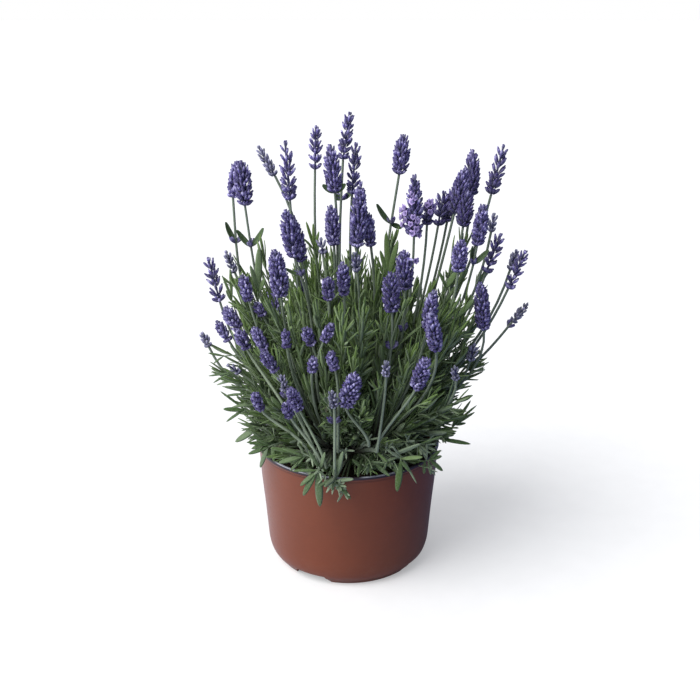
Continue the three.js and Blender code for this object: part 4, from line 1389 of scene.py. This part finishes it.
def stalk_leaves(stalk, sizes, draw):
    """The pairs of leaves low on a flower stalk."""
    leaves = []
    turn = draw.uniform(0, TURN)
    start, stop = LOW_STALK_LEAVES if stalk.is_low else STALK_LEAVES
    for place, along, share in stations(stalk.points, start, STALK_JOINT):
        if share > stop:
            break
        level, up = sideways(along)
        turn += math.pi / 2
        for side in (0, math.pi):
            leaves.append(leaf_sprout(
                place, along, round_stem(level, up, turn + side), draw.uniform(25, 50),
                sizes.leaf * draw.uniform(0.7, 1.1), sizes.leaf_width * draw.uniform(0.8, 1.1),
                draw.uniform(0.0, 0.5), draw.choice((0, 1, 2)),
            ))
    return leaves


def leaf_to_tip(root, tip, face, width, tint, silver, shape):
    """A leaf from its root to its tip, with its upper face turned as near as it can be to a direction."""
    line = tip - root
    length, straight = line.length, line.normalized()
    normal = (face - straight * face.dot(straight)).normalized()
    bend = LEAF_BENDS[shape]
    grade = math.sqrt(1 + bend * bend)
    return SimpleNamespace(
        root=root,
        turn=facing((straight - normal * bend) / grade, (normal + straight * bend) / grade),
        size=(width, length / grade, length / grade),
        tint=tint,
        silver=silver,
        shape=shape,
    )


def head_bracts(head, sizes):
    """The boat-shaped bracts under a head or under the whorl that stands apart below it."""
    bracts = []
    if head.row in BRACT_TIPS:
        root = head.whorl[0] if head.whorl else head.foot
        for pixel in BRACT_TIPS[head.row]:
            tip = place_at(pixel, root.y - 0.002)
            inwards = Vector((root.x - tip.x, 0, 0)).normalized() + BRACT_FRONT
            bracts.append(leaf_to_tip(root, tip, inwards, sizes.bract_width * 1.25, 0.0, 0.1, BRACT))
    elif head.whorl is not None:
        place, along = head.whorl
        size = 0.6 if head.row in LOW_WHORLS else 0.8
        for side in (-1, 1):
            out = Vector((side, 0.15 * side, 0))
            out = (out - along * out.dot(along)).normalized()
            tip = place + (out + along) * (sizes.bract * size)
            width = sizes.bract_width * size
            bracts.append(leaf_to_tip(place, tip, BRACT_FRONT - out, width, 0.1, 0.1, BRACT))
    return bracts


def spray_leaves(twig):
    """The leaves near a twig's end, in pairs along it, each to its own tip, with its upper face up and to the
    front."""
    leaves = []
    back = (twig.points[-2] - twig.node).normalized()
    for number, leaf in enumerate(twig.leaves):
        root = twig.node + back * (SPRAY_STEP * (number // 2))
        face = UP + Vector((0.4 * scatter(number, 2), -0.7, 0))
        shape = 3 if number % 2 else 2
        leaves.append(leaf_to_tip(root, leaf.tip, face, leaf.width, leaf.tint, leaf.silver, shape))
    return leaves


def tuft_leaves(twig, sizes, draw):
    """A tuft of small silvery leaves at the end of its twig."""
    along = (twig.points[-1] - twig.points[-2]).normalized()
    level, up = sideways(along)
    leaves = []
    for number in range(twig.count):
        out = round_stem(level, up, (number + draw.uniform(-0.3, 0.3)) * TURN / twig.count)
        leaves.append(leaf_sprout(
            twig.points[-1] - along * draw.uniform(0, 0.005), along, out, draw.uniform(20, 75),
            sizes.leaf * draw.uniform(0.16, 0.34), sizes.leaf_width * draw.uniform(0.4, 0.65),
            draw.uniform(0.0, 0.3), draw.choice((0, 1, 2)), draw.uniform(0.6, 1.0),
        ))
    return leaves


def seen_courses():
    """The courses that nothing in front of them hides, with the pixels to keep clear beside each."""
    seen = [stalk for row, stalk in enumerate(STALKS) if stalk.is_low or row in SEEN_STALKS]
    courses = [(np.array(stalk.points), STALK_MARGIN) for stalk in seen]
    heads = FLOWER_HEADS[: len(HEADS)]
    whorls = [(head.whorl[0], head.foot) for head in heads if head.whorl]
    courses += [(np.array([place, place.lerp(foot, 0.3)]), WHORL_MARGIN) for place, foot in whorls]
    return courses + [(np.array([head.foot, head.tip]), HEAD_MARGIN * head.wide * FOCAL) for head in heads]


def hides_something(points):
    """For an array of places: which of them the photograph shows in front of a head or a seen stalk."""
    found = np.zeros(points.shape[:-1], bool)
    pixels = pixels_of(points)
    for course, margin in seen_courses():
        marks = pixels_of(course)
        for i in range(len(marks) - 1):
            step = marks[i + 1] - marks[i]
            share = np.clip((pixels - marks[i]) @ step / max(step @ step, 1e-6), 0, 1)
            away = np.linalg.norm(pixels - marks[i] - share[..., None] * step, axis=-1)
            behind = course[i][1] + share * (course[i + 1][1] - course[i][1])
            found |= (away < margin) & (points[..., 1] < behind)
    return found


def in_gap(points):
    """For an array of places: which of them the photograph shows where only the background is seen."""
    pixels = pixels_of(points)
    near = [np.linalg.norm(pixels - np.array(middle), axis=-1) < reach for middle, reach in GAPS]
    return np.any(near, axis=0)


def are_clear(points):
    """For rows of points on leaves: which rows stay in the plant's outline, out of the pot, off the heads and
    off what the photograph shows."""
    low, high = (np.array(corner) for corner in CAD_BOX)
    fits = ((points > low + MM) & (points < high - MM)).all(axis=(1, 2))
    across, back, height = (points[..., axis] for axis in range(3))
    radius = np.hypot(across, back)
    fits &= (radius < np.interp(height, SKIRT_HEIGHTS, SKIRT_REACHES)).all(axis=1)
    in_wall = (np.abs(radius - POT_RIM) < WALL_ROOM) & (height < POT_HEIGHT + 2 * MM)
    in_soil = (radius < POT_RIM) & (height < SOIL_TOP + SOIL_DOME)
    over_rim = (radius > POT_RIM - RIM_ROOM[0]) & (back < RIM_FRONT) & (height < POT_HEIGHT + RIM_ROOM[1])
    over_rim &= np.any([(across > left) & (across < right) for left, right in CLEAR_RIM], axis=0)
    fits &= ~(in_wall | in_soil | over_rim | hides_something(points) | in_gap(points)).any(axis=1)
    for head in FLOWER_HEADS:
        foot, axis = np.array(head.foot), np.array(head.tip - head.foot)
        share = np.clip(((points - foot) @ axis) / (axis @ axis), 0, 1)
        away = np.linalg.norm(points - foot - share[..., None] * axis, axis=2)
        fits &= (away > head.wide * HEAD_ROOM).all(axis=1)
    return fits


def clear_leaves(leaves):
    """The leaves that have room, some of them smaller than they were."""
    roots = np.array([tuple(leaf.root) for leaf in leaves])[:, None]
    spans = np.array([[tuple(leaf.middle - leaf.root), tuple(leaf.tip - leaf.root)] for leaf in leaves])
    spans = np.concatenate([spans[:, :1] * 0.5, spans, spans.mean(axis=1, keepdims=True)], axis=1)
    size = np.zeros(len(leaves))
    for trial in LEAF_TRIALS:
        size[are_clear(roots + spans * trial)] = trial
    for leaf, share in zip(leaves, size):
        leaf.size = (leaf.size[0] * (0.4 + 0.6 * share), leaf.size[1] * share, leaf.size[2] * share)
    return [leaf for leaf, share in zip(leaves, size) if share > 0]


def build_leaves(sizes, colours):
    """For each bunch, the leaves that have room, and the tufts, bracts and sprays, which always stand."""
    finish = leaf_material(colours)
    shapes = shape_set("leaf", [leaf_shape(number, bend) for number, bend in enumerate(LEAF_BENDS)])
    tree = shared_group("Sprout On Points", sprout_tree)
    for bunch in range(BUNCHES):
        draw = random.Random(SEED + 100 + bunch)
        leaves = []
        for shoot in in_bunch(bunch, SHOOTS):
            leaves += shoot_leaves(shoot, sizes, draw)
        for stalk in in_bunch(bunch, STALKS):
            leaves += stalk_leaves(stalk, sizes, draw)
        leaves = clear_leaves(leaves)
        for twig in in_bunch(bunch, TUFT_TWIGS):
            leaves += tuft_leaves(twig, sizes, draw)
        for head in in_bunch(bunch, FLOWER_HEADS):
            leaves += head_bracts(head, sizes)
        for twig in in_bunch(bunch, TWIGS):
            leaves += spray_leaves(twig)
        piece = points_piece(f"leaves_{bunch + 1}", leaves, ["tint", "silver"])
        grow(piece, tree, Shapes=shapes, Size=1.0, Finish=finish)
        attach(piece, BODY)
        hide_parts(f"leafy_bunch_{bunch + 1}")
    clear_shapes(shapes)


# ---- Flower heads --------------------------------------------------------------------------------

# How each manner of head is set: the space between whorls, the calyces of its lowest and its highest whorl,
# how far they lean out from the axis there, in degrees, and how much more the very lowest do. Then the width
# and length of its calyces beside the common ones, the core that carries them as a share of the head's half
# width, and how much the head narrows at its top, from which share of its length on.
MANNERS = {
    "dense": SimpleNamespace(
        gap=0.0036, low=12, high=9, lean_low=38, lean_high=20, skirt=14,
        slim=0.9, length=0.96, core=0.30, dome=0.6, full=0.45,
    ),
    "open": SimpleNamespace(
        gap=0.0068, low=8, high=5, lean_low=44, lean_high=24, skirt=0,
        slim=1.0, length=1.0, core=0.1, dome=0.2, full=0.6,
    ),
    "bloom": SimpleNamespace(
        gap=0.0044, low=9, high=6, lean_low=44, lean_high=22, skirt=6,
        slim=1.0, length=0.86, core=0.26, dome=0.55, full=0.3,
    ),
    "young": SimpleNamespace(
        gap=0.0044, low=7, high=5, lean_low=38, lean_high=18, skirt=0,
        slim=0.85, length=0.75, core=0.15, dome=0.2, full=0.6,
    ),
}
CALYX_SIDES = 8
COROLLA_SIDES = 15
MISSING = 0.06  # the share of the calyces that a head has lost
TOP_CALYCES, TOP_LEAN = 3, math.radians(9)  # at the very tip of a head
CALYX_ROOT = 0.0009  # how far from the axis of a head its calyces start at least
TOP_ROOT = 0.0003  # and those at its tip
SHORTEST_CALYX = 0.0045
WHORL_CALYCES = 8  # of a whorl that stands apart below a head

# The calyx shapes, from the foot to the tip: share of the length, half width, and how far it is the bud.
CALYX_PROFILES = [
    [(0, 0.14, 0.0), (0.10, 0.28, 0.0), (0.38, 0.47, 0.0), (0.68, 0.50, 0.0), (0.88, 0.34, 0.3), (1, 0, 0.6)],
    [
        (0, 0.14, 0.0), (0.12, 0.30, 0.0), (0.42, 0.50, 0.0), (0.72, 0.46, 0.0),
        (0.78, 0.30, 0.8), (0.92, 0.34, 1.0), (1, 0, 1.0),
    ],
    [(0, 0.16, 0.0), (0.18, 0.36, 0.0), (0.52, 0.50, 0.0), (0.82, 0.36, 0.0), (1, 0, 0.0)],
]


def calyx_shape(number, profile):
    """A ribbed calyx of unit length and width along +Y."""
    rings, along, rib, bud = [], [], [], []
    for share, half, is_bud in profile:
        ring = []
        for i in range(CALYX_SIDES if half else 1):
            ridge = (-1) ** i if half and not is_bud else 0
            angle = -i * TURN / CALYX_SIDES
            radius = half * (1 + 0.10 * ridge)
            ring.append(Vector((radius * math.cos(angle), share, radius * math.sin(angle))))
            along.append(share)
            rib.append(max(ridge, 0))
            bud.append(is_bud)
        rings.append(ring)
    corners, faces = loft(rings)
    return mesh_from(f"calyx_{number}", corners, faces, along=along, rib=rib, bud=bud)


def corolla_shape():
    """An open flower of unit size along +Y: a tube, two broad lobes above and three narrow ones below."""
    sides = COROLLA_SIDES
    turns = [-i * TURN / sides for i in range(sides)]
    back, edge, front = [], [], []
    for turn in turns:
        angle = turn + math.pi / 2
        lobe = 0.5 + 0.5 * math.cos(5 * (angle - math.pi / 2) + math.pi)
        tall = 1.0 if math.sin(angle) > 0.1 else 0.78
        reach = (0.32 + 0.20 * lobe) * tall
        out = Vector((math.cos(angle), 0, math.sin(angle)))
        back.append(out * 0.12 + Vector((0, 0.42, 0)))
        edge.append(out * reach + Vector((0, 0.72 + 0.10 * lobe * math.sin(angle), 0)))
        front.append(out * 0.15 + Vector((0, 0.60, 0)))
    base = [Vector((0.07 * math.cos(turn), 0, 0.07 * math.sin(turn))) for turn in turns]
    rings = [base, back, edge, front, [Vector((0, 0.45, 0))]]
    corners, faces = loft(rings)
    along = [0.0] * sides + [0.45] * sides + [1.0] * sides + [0.55] * sides + [0.4]
    return mesh_from("corolla_0", corners, faces, along=along)


def in_box(place, margin):
    """Whether a place lies in the part's box by a margin."""
    return all(low + margin < part < high - margin for low, part, high in zip(CAD_BOX[0], place, CAD_BOX[1]))


def calyx_sprout(root, direction, out, length, width, tint, youth, shape):
    """A calyx that is no longer than the part's box has room for."""
    while length > 0.0015 and not in_box(root + direction * length, width * 0.5):
        length *= 0.85
    turn, size = facing(direction, out), (width, length, width)
    return SimpleNamespace(root=root, turn=turn, size=size, tint=tint, youth=youth, shape=shape)


def head_parts(head, sizes, draw):
    """The calyces of one head, whorl above whorl."""
    manner = MANNERS[head.manner]
    axis = head.tip - head.foot
    along = axis.normalized()
    level, up = sideways(along)
    whorls = max(2, round(axis.length * 0.86 / manner.gap))
    pale = draw.uniform(0.0, 0.3)
    is_young = head.manner == "young"
    longest = sizes.calyx * manner.length
    calyces = []
    for i in range(whorls + 1):
        share = i / whorls
        centre = head.foot + axis * (0.02 + 0.87 * share)
        swell = head.wide * (0.55 + 0.45 * math.sin(math.pi * (0.25 + 0.70 * share)))
        swell *= 1 - manner.dome * max(0.0, (share - manner.full) / (1 - manner.full)) ** 2
        lean = math.radians(manner.lean_low + (manner.lean_high - manner.lean_low) * share)
        count = round(manner.low + (manner.high - manner.low) * share)
        if i == 0:
            lean += math.radians(manner.skirt)
        if i == whorls:
            lean, count = TOP_LEAN, TOP_CALYCES
        # Painted shade: the calyces of SHADY heads get a darker tint, the more so low down.
        light = 0.12 + 0.7 * share if head.row in SHADY else 1.0
        for j in range(count):
            if 0 < i < whorls and draw.random() < MISSING:
                continue
            out = round_stem(level, up, TURN * (j + 0.5 * (i % 2)) / count + draw.uniform(-0.2, 0.2))
            tilt = lean + draw.uniform(-0.16, 0.2)
            direction = along * math.cos(tilt) + out * math.sin(tilt)
            reach = swell * draw.uniform(0.9, 1.04)
            core = max(reach - longest * math.sin(tilt), CALYX_ROOT)
            core = min(core, manner.core * head.wide + CALYX_ROOT)
            length = min(max((reach - core) / math.sin(tilt), SHORTEST_CALYX), longest * 1.15)
            if i == whorls:
                core = TOP_ROOT
            room = (head.tip - centre).dot(along) / max(direction.dot(along), 0.3)
            length = min(length, max(room, 0.004))
            width = sizes.calyx_width * manner.slim * (0.80 + 0.20 * (1 - share)) * draw.uniform(0.88, 1.1)
            rise = manner.gap * draw.uniform(-0.3, 0.3) * (0 < i < whorls)
            root = centre + out * core + along * rise
            if is_young:
                youth = draw.uniform(0.6, 1.0)
            else:
                youth = 0.7 * max(0.0, share - 0.8) / 0.2 * draw.random()
            tint = min(1.0, pale + draw.random() ** 1.7) * light
            shape = 2 if is_young else draw.choice((0, 1, 1))
            calyces.append(calyx_sprout(root, direction, out, length, width, tint, youth, shape))
    return calyces


def open_flowers(head, sizes, draw):
    """The open flowers of a head, each at the end of a calyx that reaches to it."""
    axis = head.tip - head.foot
    calyces, corollas = [], []
    for pixel, forward in BLOOMS[head.row]:
        mouth = place_at(pixel, head.foot.y - forward * MM)
        share = (mouth - head.foot).dot(axis) / axis.length_squared
        root = head.foot + axis * max(share - 0.07, 0.0)
        line = mouth - root
        direction, reach = line.normalized(), line.length
        side = direction.cross(axis).normalized()
        size = sizes.corolla * draw.uniform(0.85, 1.15)
        length = max(reach - size * 0.45, 0.004)
        width = sizes.calyx_width * 0.9
        tint = draw.uniform(0.2, 0.9)
        calyces.append(calyx_sprout(root, direction, side, length, width, tint, 0.0, 0))
        corollas.append(SimpleNamespace(
            root=root + direction * (length - size * 0.2),
            turn=facing((direction + Vector((0, -0.4, 0))).normalized(), axis),
            size=(size, size, size),
            tint=draw.uniform(0.0, 1.0),
            shape=0,
        ))
    return calyces, corollas


def whorl_parts(place, along, sizes, draw):
    """The calyces of a single whorl that stands apart below a head, in two groups that face each other."""
    level, up = sideways(along)
    calyces = []
    for j in range(WHORL_CALYCES):
        angle = math.pi * (j % 2) + draw.uniform(-0.9, 0.9)
        out = level * math.cos(angle) + up * math.sin(angle) * 0.6
        direction = (along * 0.85 + out * draw.uniform(0.35, 1.0)).normalized()
        length, width = sizes.calyx * draw.uniform(0.85, 1.1), sizes.calyx_width * 0.95
        tint, youth = draw.uniform(0.0, 0.5), draw.uniform(0.0, 0.4)
        calyces.append(calyx_sprout(place + out * MM, direction, out, length, width, tint, youth, j % 2))
    return calyces


def head_nodes():
    """For each bunch, the flower nodes of the part that its heads stand for, and the bunch of each head."""
    nodes = {bunch: [] for bunch in range(BUNCHES)}
    owner = [head.bunch for head in FLOWER_HEADS]
    for node in frame["nodes"]:
        if not node.startswith("flower_head_"):
            continue
        numbers = [int(text) - 1 for text in node.split("_")[2:]]
        bunch = FLOWER_HEADS[numbers[0]].bunch
        nodes[bunch].append(node)
        for number in numbers:
            owner[number] = bunch
    return nodes, owner


def build_flowers(sizes, colours):
    """For each bunch, the calyces of its heads and whorls, and its open flowers."""
    tree = shared_group("Sprout On Points", sprout_tree)
    calyx_set = shape_set("calyx", [calyx_shape(n, profile) for n, profile in enumerate(CALYX_PROFILES)])
    corolla_set = shape_set("corolla", [corolla_shape()])
    calyx_finish, corolla_finish = calyx_material(colours), corolla_material(colours)
    nodes, owner = head_nodes()
    for bunch in range(BUNCHES):
        draw = random.Random(SEED + 200 + bunch)
        calyces, corollas = [], []
        for head, keeper in zip(FLOWER_HEADS, owner):
            if keeper != bunch:
                continue
            calyces += head_parts(head, sizes, draw)
            if head.row in BLOOMS:
                cups, flowers = open_flowers(head, sizes, draw)
                calyces += cups
                corollas += flowers
            if head.whorl is not None:
                calyces += whorl_parts(*head.whorl, sizes, draw)
        spikes = points_piece(f"spikes_{bunch + 1}", calyces, ["tint", "youth"])
        grow(spikes, tree, Shapes=calyx_set, Size=1.0, Finish=calyx_finish)
        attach(spikes, BODY)
        if nodes[bunch]:
            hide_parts(*nodes[bunch])
        if corollas:
            blooms = points_piece(f"corollas_{bunch + 1}", corollas, ["tint"])
            grow(blooms, tree, Shapes=corolla_set, Size=1.0, Finish=corolla_finish)
            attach(blooms, BODY)
    clear_shapes(calyx_set)
    clear_shapes(corolla_set)


# ---- The stage -----------------------------------------------------------------------------------

FLOOR_REACH = 14.0
KEY_FROM = (-0.75, -0.5, 1.0)
KEY_SOFTNESS = math.radians(46)
SENSOR = 36  # the width of the camera's sensor in millimetres


def sun_light(name, direction, power, softness):
    """A broad far lamp, so that the floor is evenly lit as far as it goes."""
    light = bpy.data.lights.new(name, "SUN")
    light.energy = power
    light.angle = softness
    lamp = bpy.data.objects.new(name, light)
    lamp.rotation_euler = Vector(direction).to_track_quat("Z", "Y").to_euler()
    bpy.context.scene.collection.objects.link(lamp)


def studio_world(sky):
    """Even light that is brighter from the left. The background itself is white."""
    world = bpy.data.worlds.new("studio")
    world.use_nodes = True
    tree = world.node_tree
    light = tree.nodes["Background"]
    where = add(tree, "ShaderNodeTexCoord").outputs["Generated"]
    side = add(tree, "ShaderNodeSeparateXYZ", {0: where}).outputs["X"]
    colour = mixed(tree, spread(tree, side, -0.8, 0.8), (1.65, 1.65, 1.68, 1), (0.17, 0.22, 0.34, 1))
    tree.links.new(colour, light.inputs["Color"])
    light.inputs["Strength"].default_value = sky
    white = add(tree, "ShaderNodeBackground", {"Color": (1, 1, 1, 1), "Strength": 1.0})
    seen = add(tree, "ShaderNodeLightPath").outputs["Is Camera Ray"]
    both = add(tree, "ShaderNodeMixShader", {0: seen, 1: light.outputs[0], 2: white.outputs[0]})
    tree.links.new(both.outputs[0], tree.nodes["World Output"].inputs["Surface"])
    return world


def build_stage(sizes):
    """The floor, the light and the photograph's camera."""
    scene = bpy.context.scene
    corners = [(x * FLOOR_REACH, y * FLOOR_REACH, 0) for x, y in ((-1, -1), (1, -1), (1, 1), (-1, 1))]
    floor = place_in_scene(mesh_from("studio_floor", corners, [(0, 1, 2, 3)]))
    floor.data.materials.append(floor_material())
    scene.world = studio_world(sizes.sky)
    sun_light("key", KEY_FROM, sizes.key, KEY_SOFTNESS)
    camera_data = bpy.data.cameras.new("camera")
    camera_data.sensor_width = SENSOR
    camera_data.lens = FOCAL / PICTURE * SENSOR
    camera = bpy.data.objects.new("camera", camera_data)
    camera.location = (CAMERA_SIDE, -CAMERA_BACK, CAMERA_HEIGHT)
    camera.rotation_euler = (math.pi / 2 - CAMERA_TILT, 0, 0)
    scene.collection.objects.link(camera)
    scene.camera = camera
    scene.view_settings.view_transform = "Standard"


# ---- The add-on ----------------------------------------------------------------------------------


def length_property(name, description, default):
    return FloatProperty(name=name, description=description, default=default, unit="LENGTH")


def colour_property(name, description, default):
    return FloatVectorProperty(
        name=name, description=description, default=default, subtype="COLOR", size=3, min=0, max=1
    )


class PotSettings(bpy.types.PropertyGroup):
    sides: IntProperty(name="Sides", description="Faces round the pot", default=128, min=32, max=256)
    crumbs: FloatProperty(
        name="Crumbs", description="Crumbs on a square metre of compost", default=60000.0, min=0
    )


class FoliageSettings(bpy.types.PropertyGroup):
    stalk: length_property("Stalk", "Half the thickness of a flower stalk", 0.00115)
    leaf: length_property("Leaf", "Length of a grown leaf", 0.037)
    leaf_width: length_property("Leaf width", "Width of a grown leaf", 0.0037)
    bract: length_property("Bract", "Reach of a bract from its stem", 0.0140)
    bract_width: length_property("Bract width", "Width of a bract", 0.0044)
    joint: length_property("Joint", "Distance between leaf pairs", 0.0095)
    tuft: IntProperty(name="Tuft", description="Small leaves in an axil", default=3, min=0, max=8)
    axils: FloatProperty(
        name="Axils", description="Share of the axils that have small leaves", default=0.5, subtype="FACTOR"
    )


class FlowerSettings(bpy.types.PropertyGroup):
    calyx: length_property("Calyx", "Length of a calyx", 0.0080)
    calyx_width: length_property("Calyx width", "Width of a calyx", 0.0028)
    corolla: length_property("Corolla", "Size of an open flower", 0.0073)


class ColourSettings(bpy.types.PropertyGroup):
    pot: colour_property("Pot", "Plastic of the pot", (0.178, 0.045, 0.0180))
    leaf: colour_property("Leaf", "Grown leaves", (0.042, 0.091, 0.018))
    young_leaf: colour_property("Young leaf", "Leaves of young shoots", (0.15, 0.245, 0.045))
    silver: colour_property("Silver", "Downy leaves and undersides", (0.29, 0.355, 0.25))
    stem: colour_property("Stem", "Flower stalks", (0.125, 0.160, 0.120))
    calyx: colour_property("Calyx", "Dark calyces", (0.014, 0.008, 0.082))
    pale_calyx: colour_property("Pale calyx", "Pale calyces", (0.086, 0.055, 0.34))
    calyx_tip: colour_property("Calyx tip", "Downy tips and ribs of the calyces", (0.63, 0.59, 0.90))
    bud: colour_property("Bud", "Buds in the calyces", (0.03, 0.014, 0.13))
    corolla: colour_property("Corolla", "Open flowers", (0.46, 0.35, 0.74))


class StageSettings(bpy.types.PropertyGroup):
    sky: FloatProperty(name="Sky", description="Strength of the light from all round", default=0.60, min=0)
    key: FloatProperty(name="Key", description="Strength of the main lamp", default=2.8, min=0)


class LavenderSettings(bpy.types.PropertyGroup):
    pot: PointerProperty(type=PotSettings, name="Pot", description="The pot and the compost")
    foliage: PointerProperty(type=FoliageSettings, name="Foliage", description="Stems and leaves")
    flowers: PointerProperty(type=FlowerSettings, name="Flowers", description="Flower heads")
    colours: PointerProperty(type=ColourSettings, name="Colours", description="Colours of the finishes")
    stage: PointerProperty(type=StageSettings, name="Stage", description="Lights")


class LAVENDER_OT_pot(bpy.types.Operator):
    """Make the nursery pot, with its lip, foot step and drainage notches"""

    bl_idname = "lavender.pot"
    bl_label = "Pot"

    def execute(self, context):
        settings = context.scene.lavender
        build_pot(settings.pot, settings.colours)
        return {"FINISHED"}


class LAVENDER_OT_compost(bpy.types.Operator):
    """Fill the pot with crumbly compost"""

    bl_idname = "lavender.compost"
    bl_label = "Compost"

    def execute(self, context):
        build_compost(context.scene.lavender.pot)
        return {"FINISHED"}


class LAVENDER_OT_stems(bpy.types.Operator):
    """Grow the woody stumps, the leafy shoots and the flower stalks"""

    bl_idname = "lavender.stems"
    bl_label = "Stems"

    def execute(self, context):
        settings = context.scene.lavender
        build_stems(settings.foliage, settings.colours)
        return {"FINISHED"}


class LAVENDER_OT_leaves(bpy.types.Operator):
    """Grow the leaves in pairs and tufts along the stems"""

    bl_idname = "lavender.leaves"
    bl_label = "Leaves"

    def execute(self, context):
        settings = context.scene.lavender
        build_leaves(settings.foliage, settings.colours)
        return {"FINISHED"}


class LAVENDER_OT_flowers(bpy.types.Operator):
    """Set the flower heads with their calyces and open flowers"""

    bl_idname = "lavender.flowers"
    bl_label = "Flowers"

    def execute(self, context):
        settings = context.scene.lavender
        build_flowers(settings.flowers, settings.colours)
        return {"FINISHED"}


class LAVENDER_OT_stage(bpy.types.Operator):
    """Set up the floor, the lights and the camera"""

    bl_idname = "lavender.stage"
    bl_label = "Stage"

    def execute(self, context):
        build_stage(context.scene.lavender.stage)
        return {"FINISHED"}


STEPS = [
    LAVENDER_OT_pot,
    LAVENDER_OT_compost,
    LAVENDER_OT_stems,
    LAVENDER_OT_leaves,
    LAVENDER_OT_flowers,
    LAVENDER_OT_stage,
]


class LAVENDER_PT_panel(bpy.types.Panel):
    """The settings of the plant and a button for each piece"""

    bl_idname = "LAVENDER_PT_panel"
    bl_label = "Potted Lavender"
    bl_space_type = "VIEW_3D"
    bl_region_type = "UI"
    bl_category = "Lavender"

    def draw(self, context):
        settings = context.scene.lavender
        for part in ("pot", "foliage", "flowers", "colours", "stage"):
            box = self.layout.box()
            box.label(text=part.capitalize())
            group = getattr(settings, part)
            for name in group.__annotations__:
                box.prop(group, name)
        for step in STEPS:
            self.layout.operator(step.bl_idname)


SETTINGS = [PotSettings, FoliageSettings, FlowerSettings, ColourSettings, StageSettings, LavenderSettings]
CLASSES = [*SETTINGS, *STEPS, LAVENDER_PT_panel]


def register():
    for cls in CLASSES:
        bpy.utils.register_class(cls)
    bpy.types.Scene.lavender = PointerProperty(type=LavenderSettings)


def unregister():
    del bpy.types.Scene.lavender
    for cls in reversed(CLASSES):
        bpy.utils.unregister_class(cls)


def main():
    register()
    bpy.ops.lavender.pot()
    bpy.ops.lavender.compost()
    bpy.ops.lavender.stems()
    bpy.ops.lavender.leaves()
    bpy.ops.lavender.flowers()
    bpy.ops.lavender.stage()


if __name__ == "__main__":
    main()
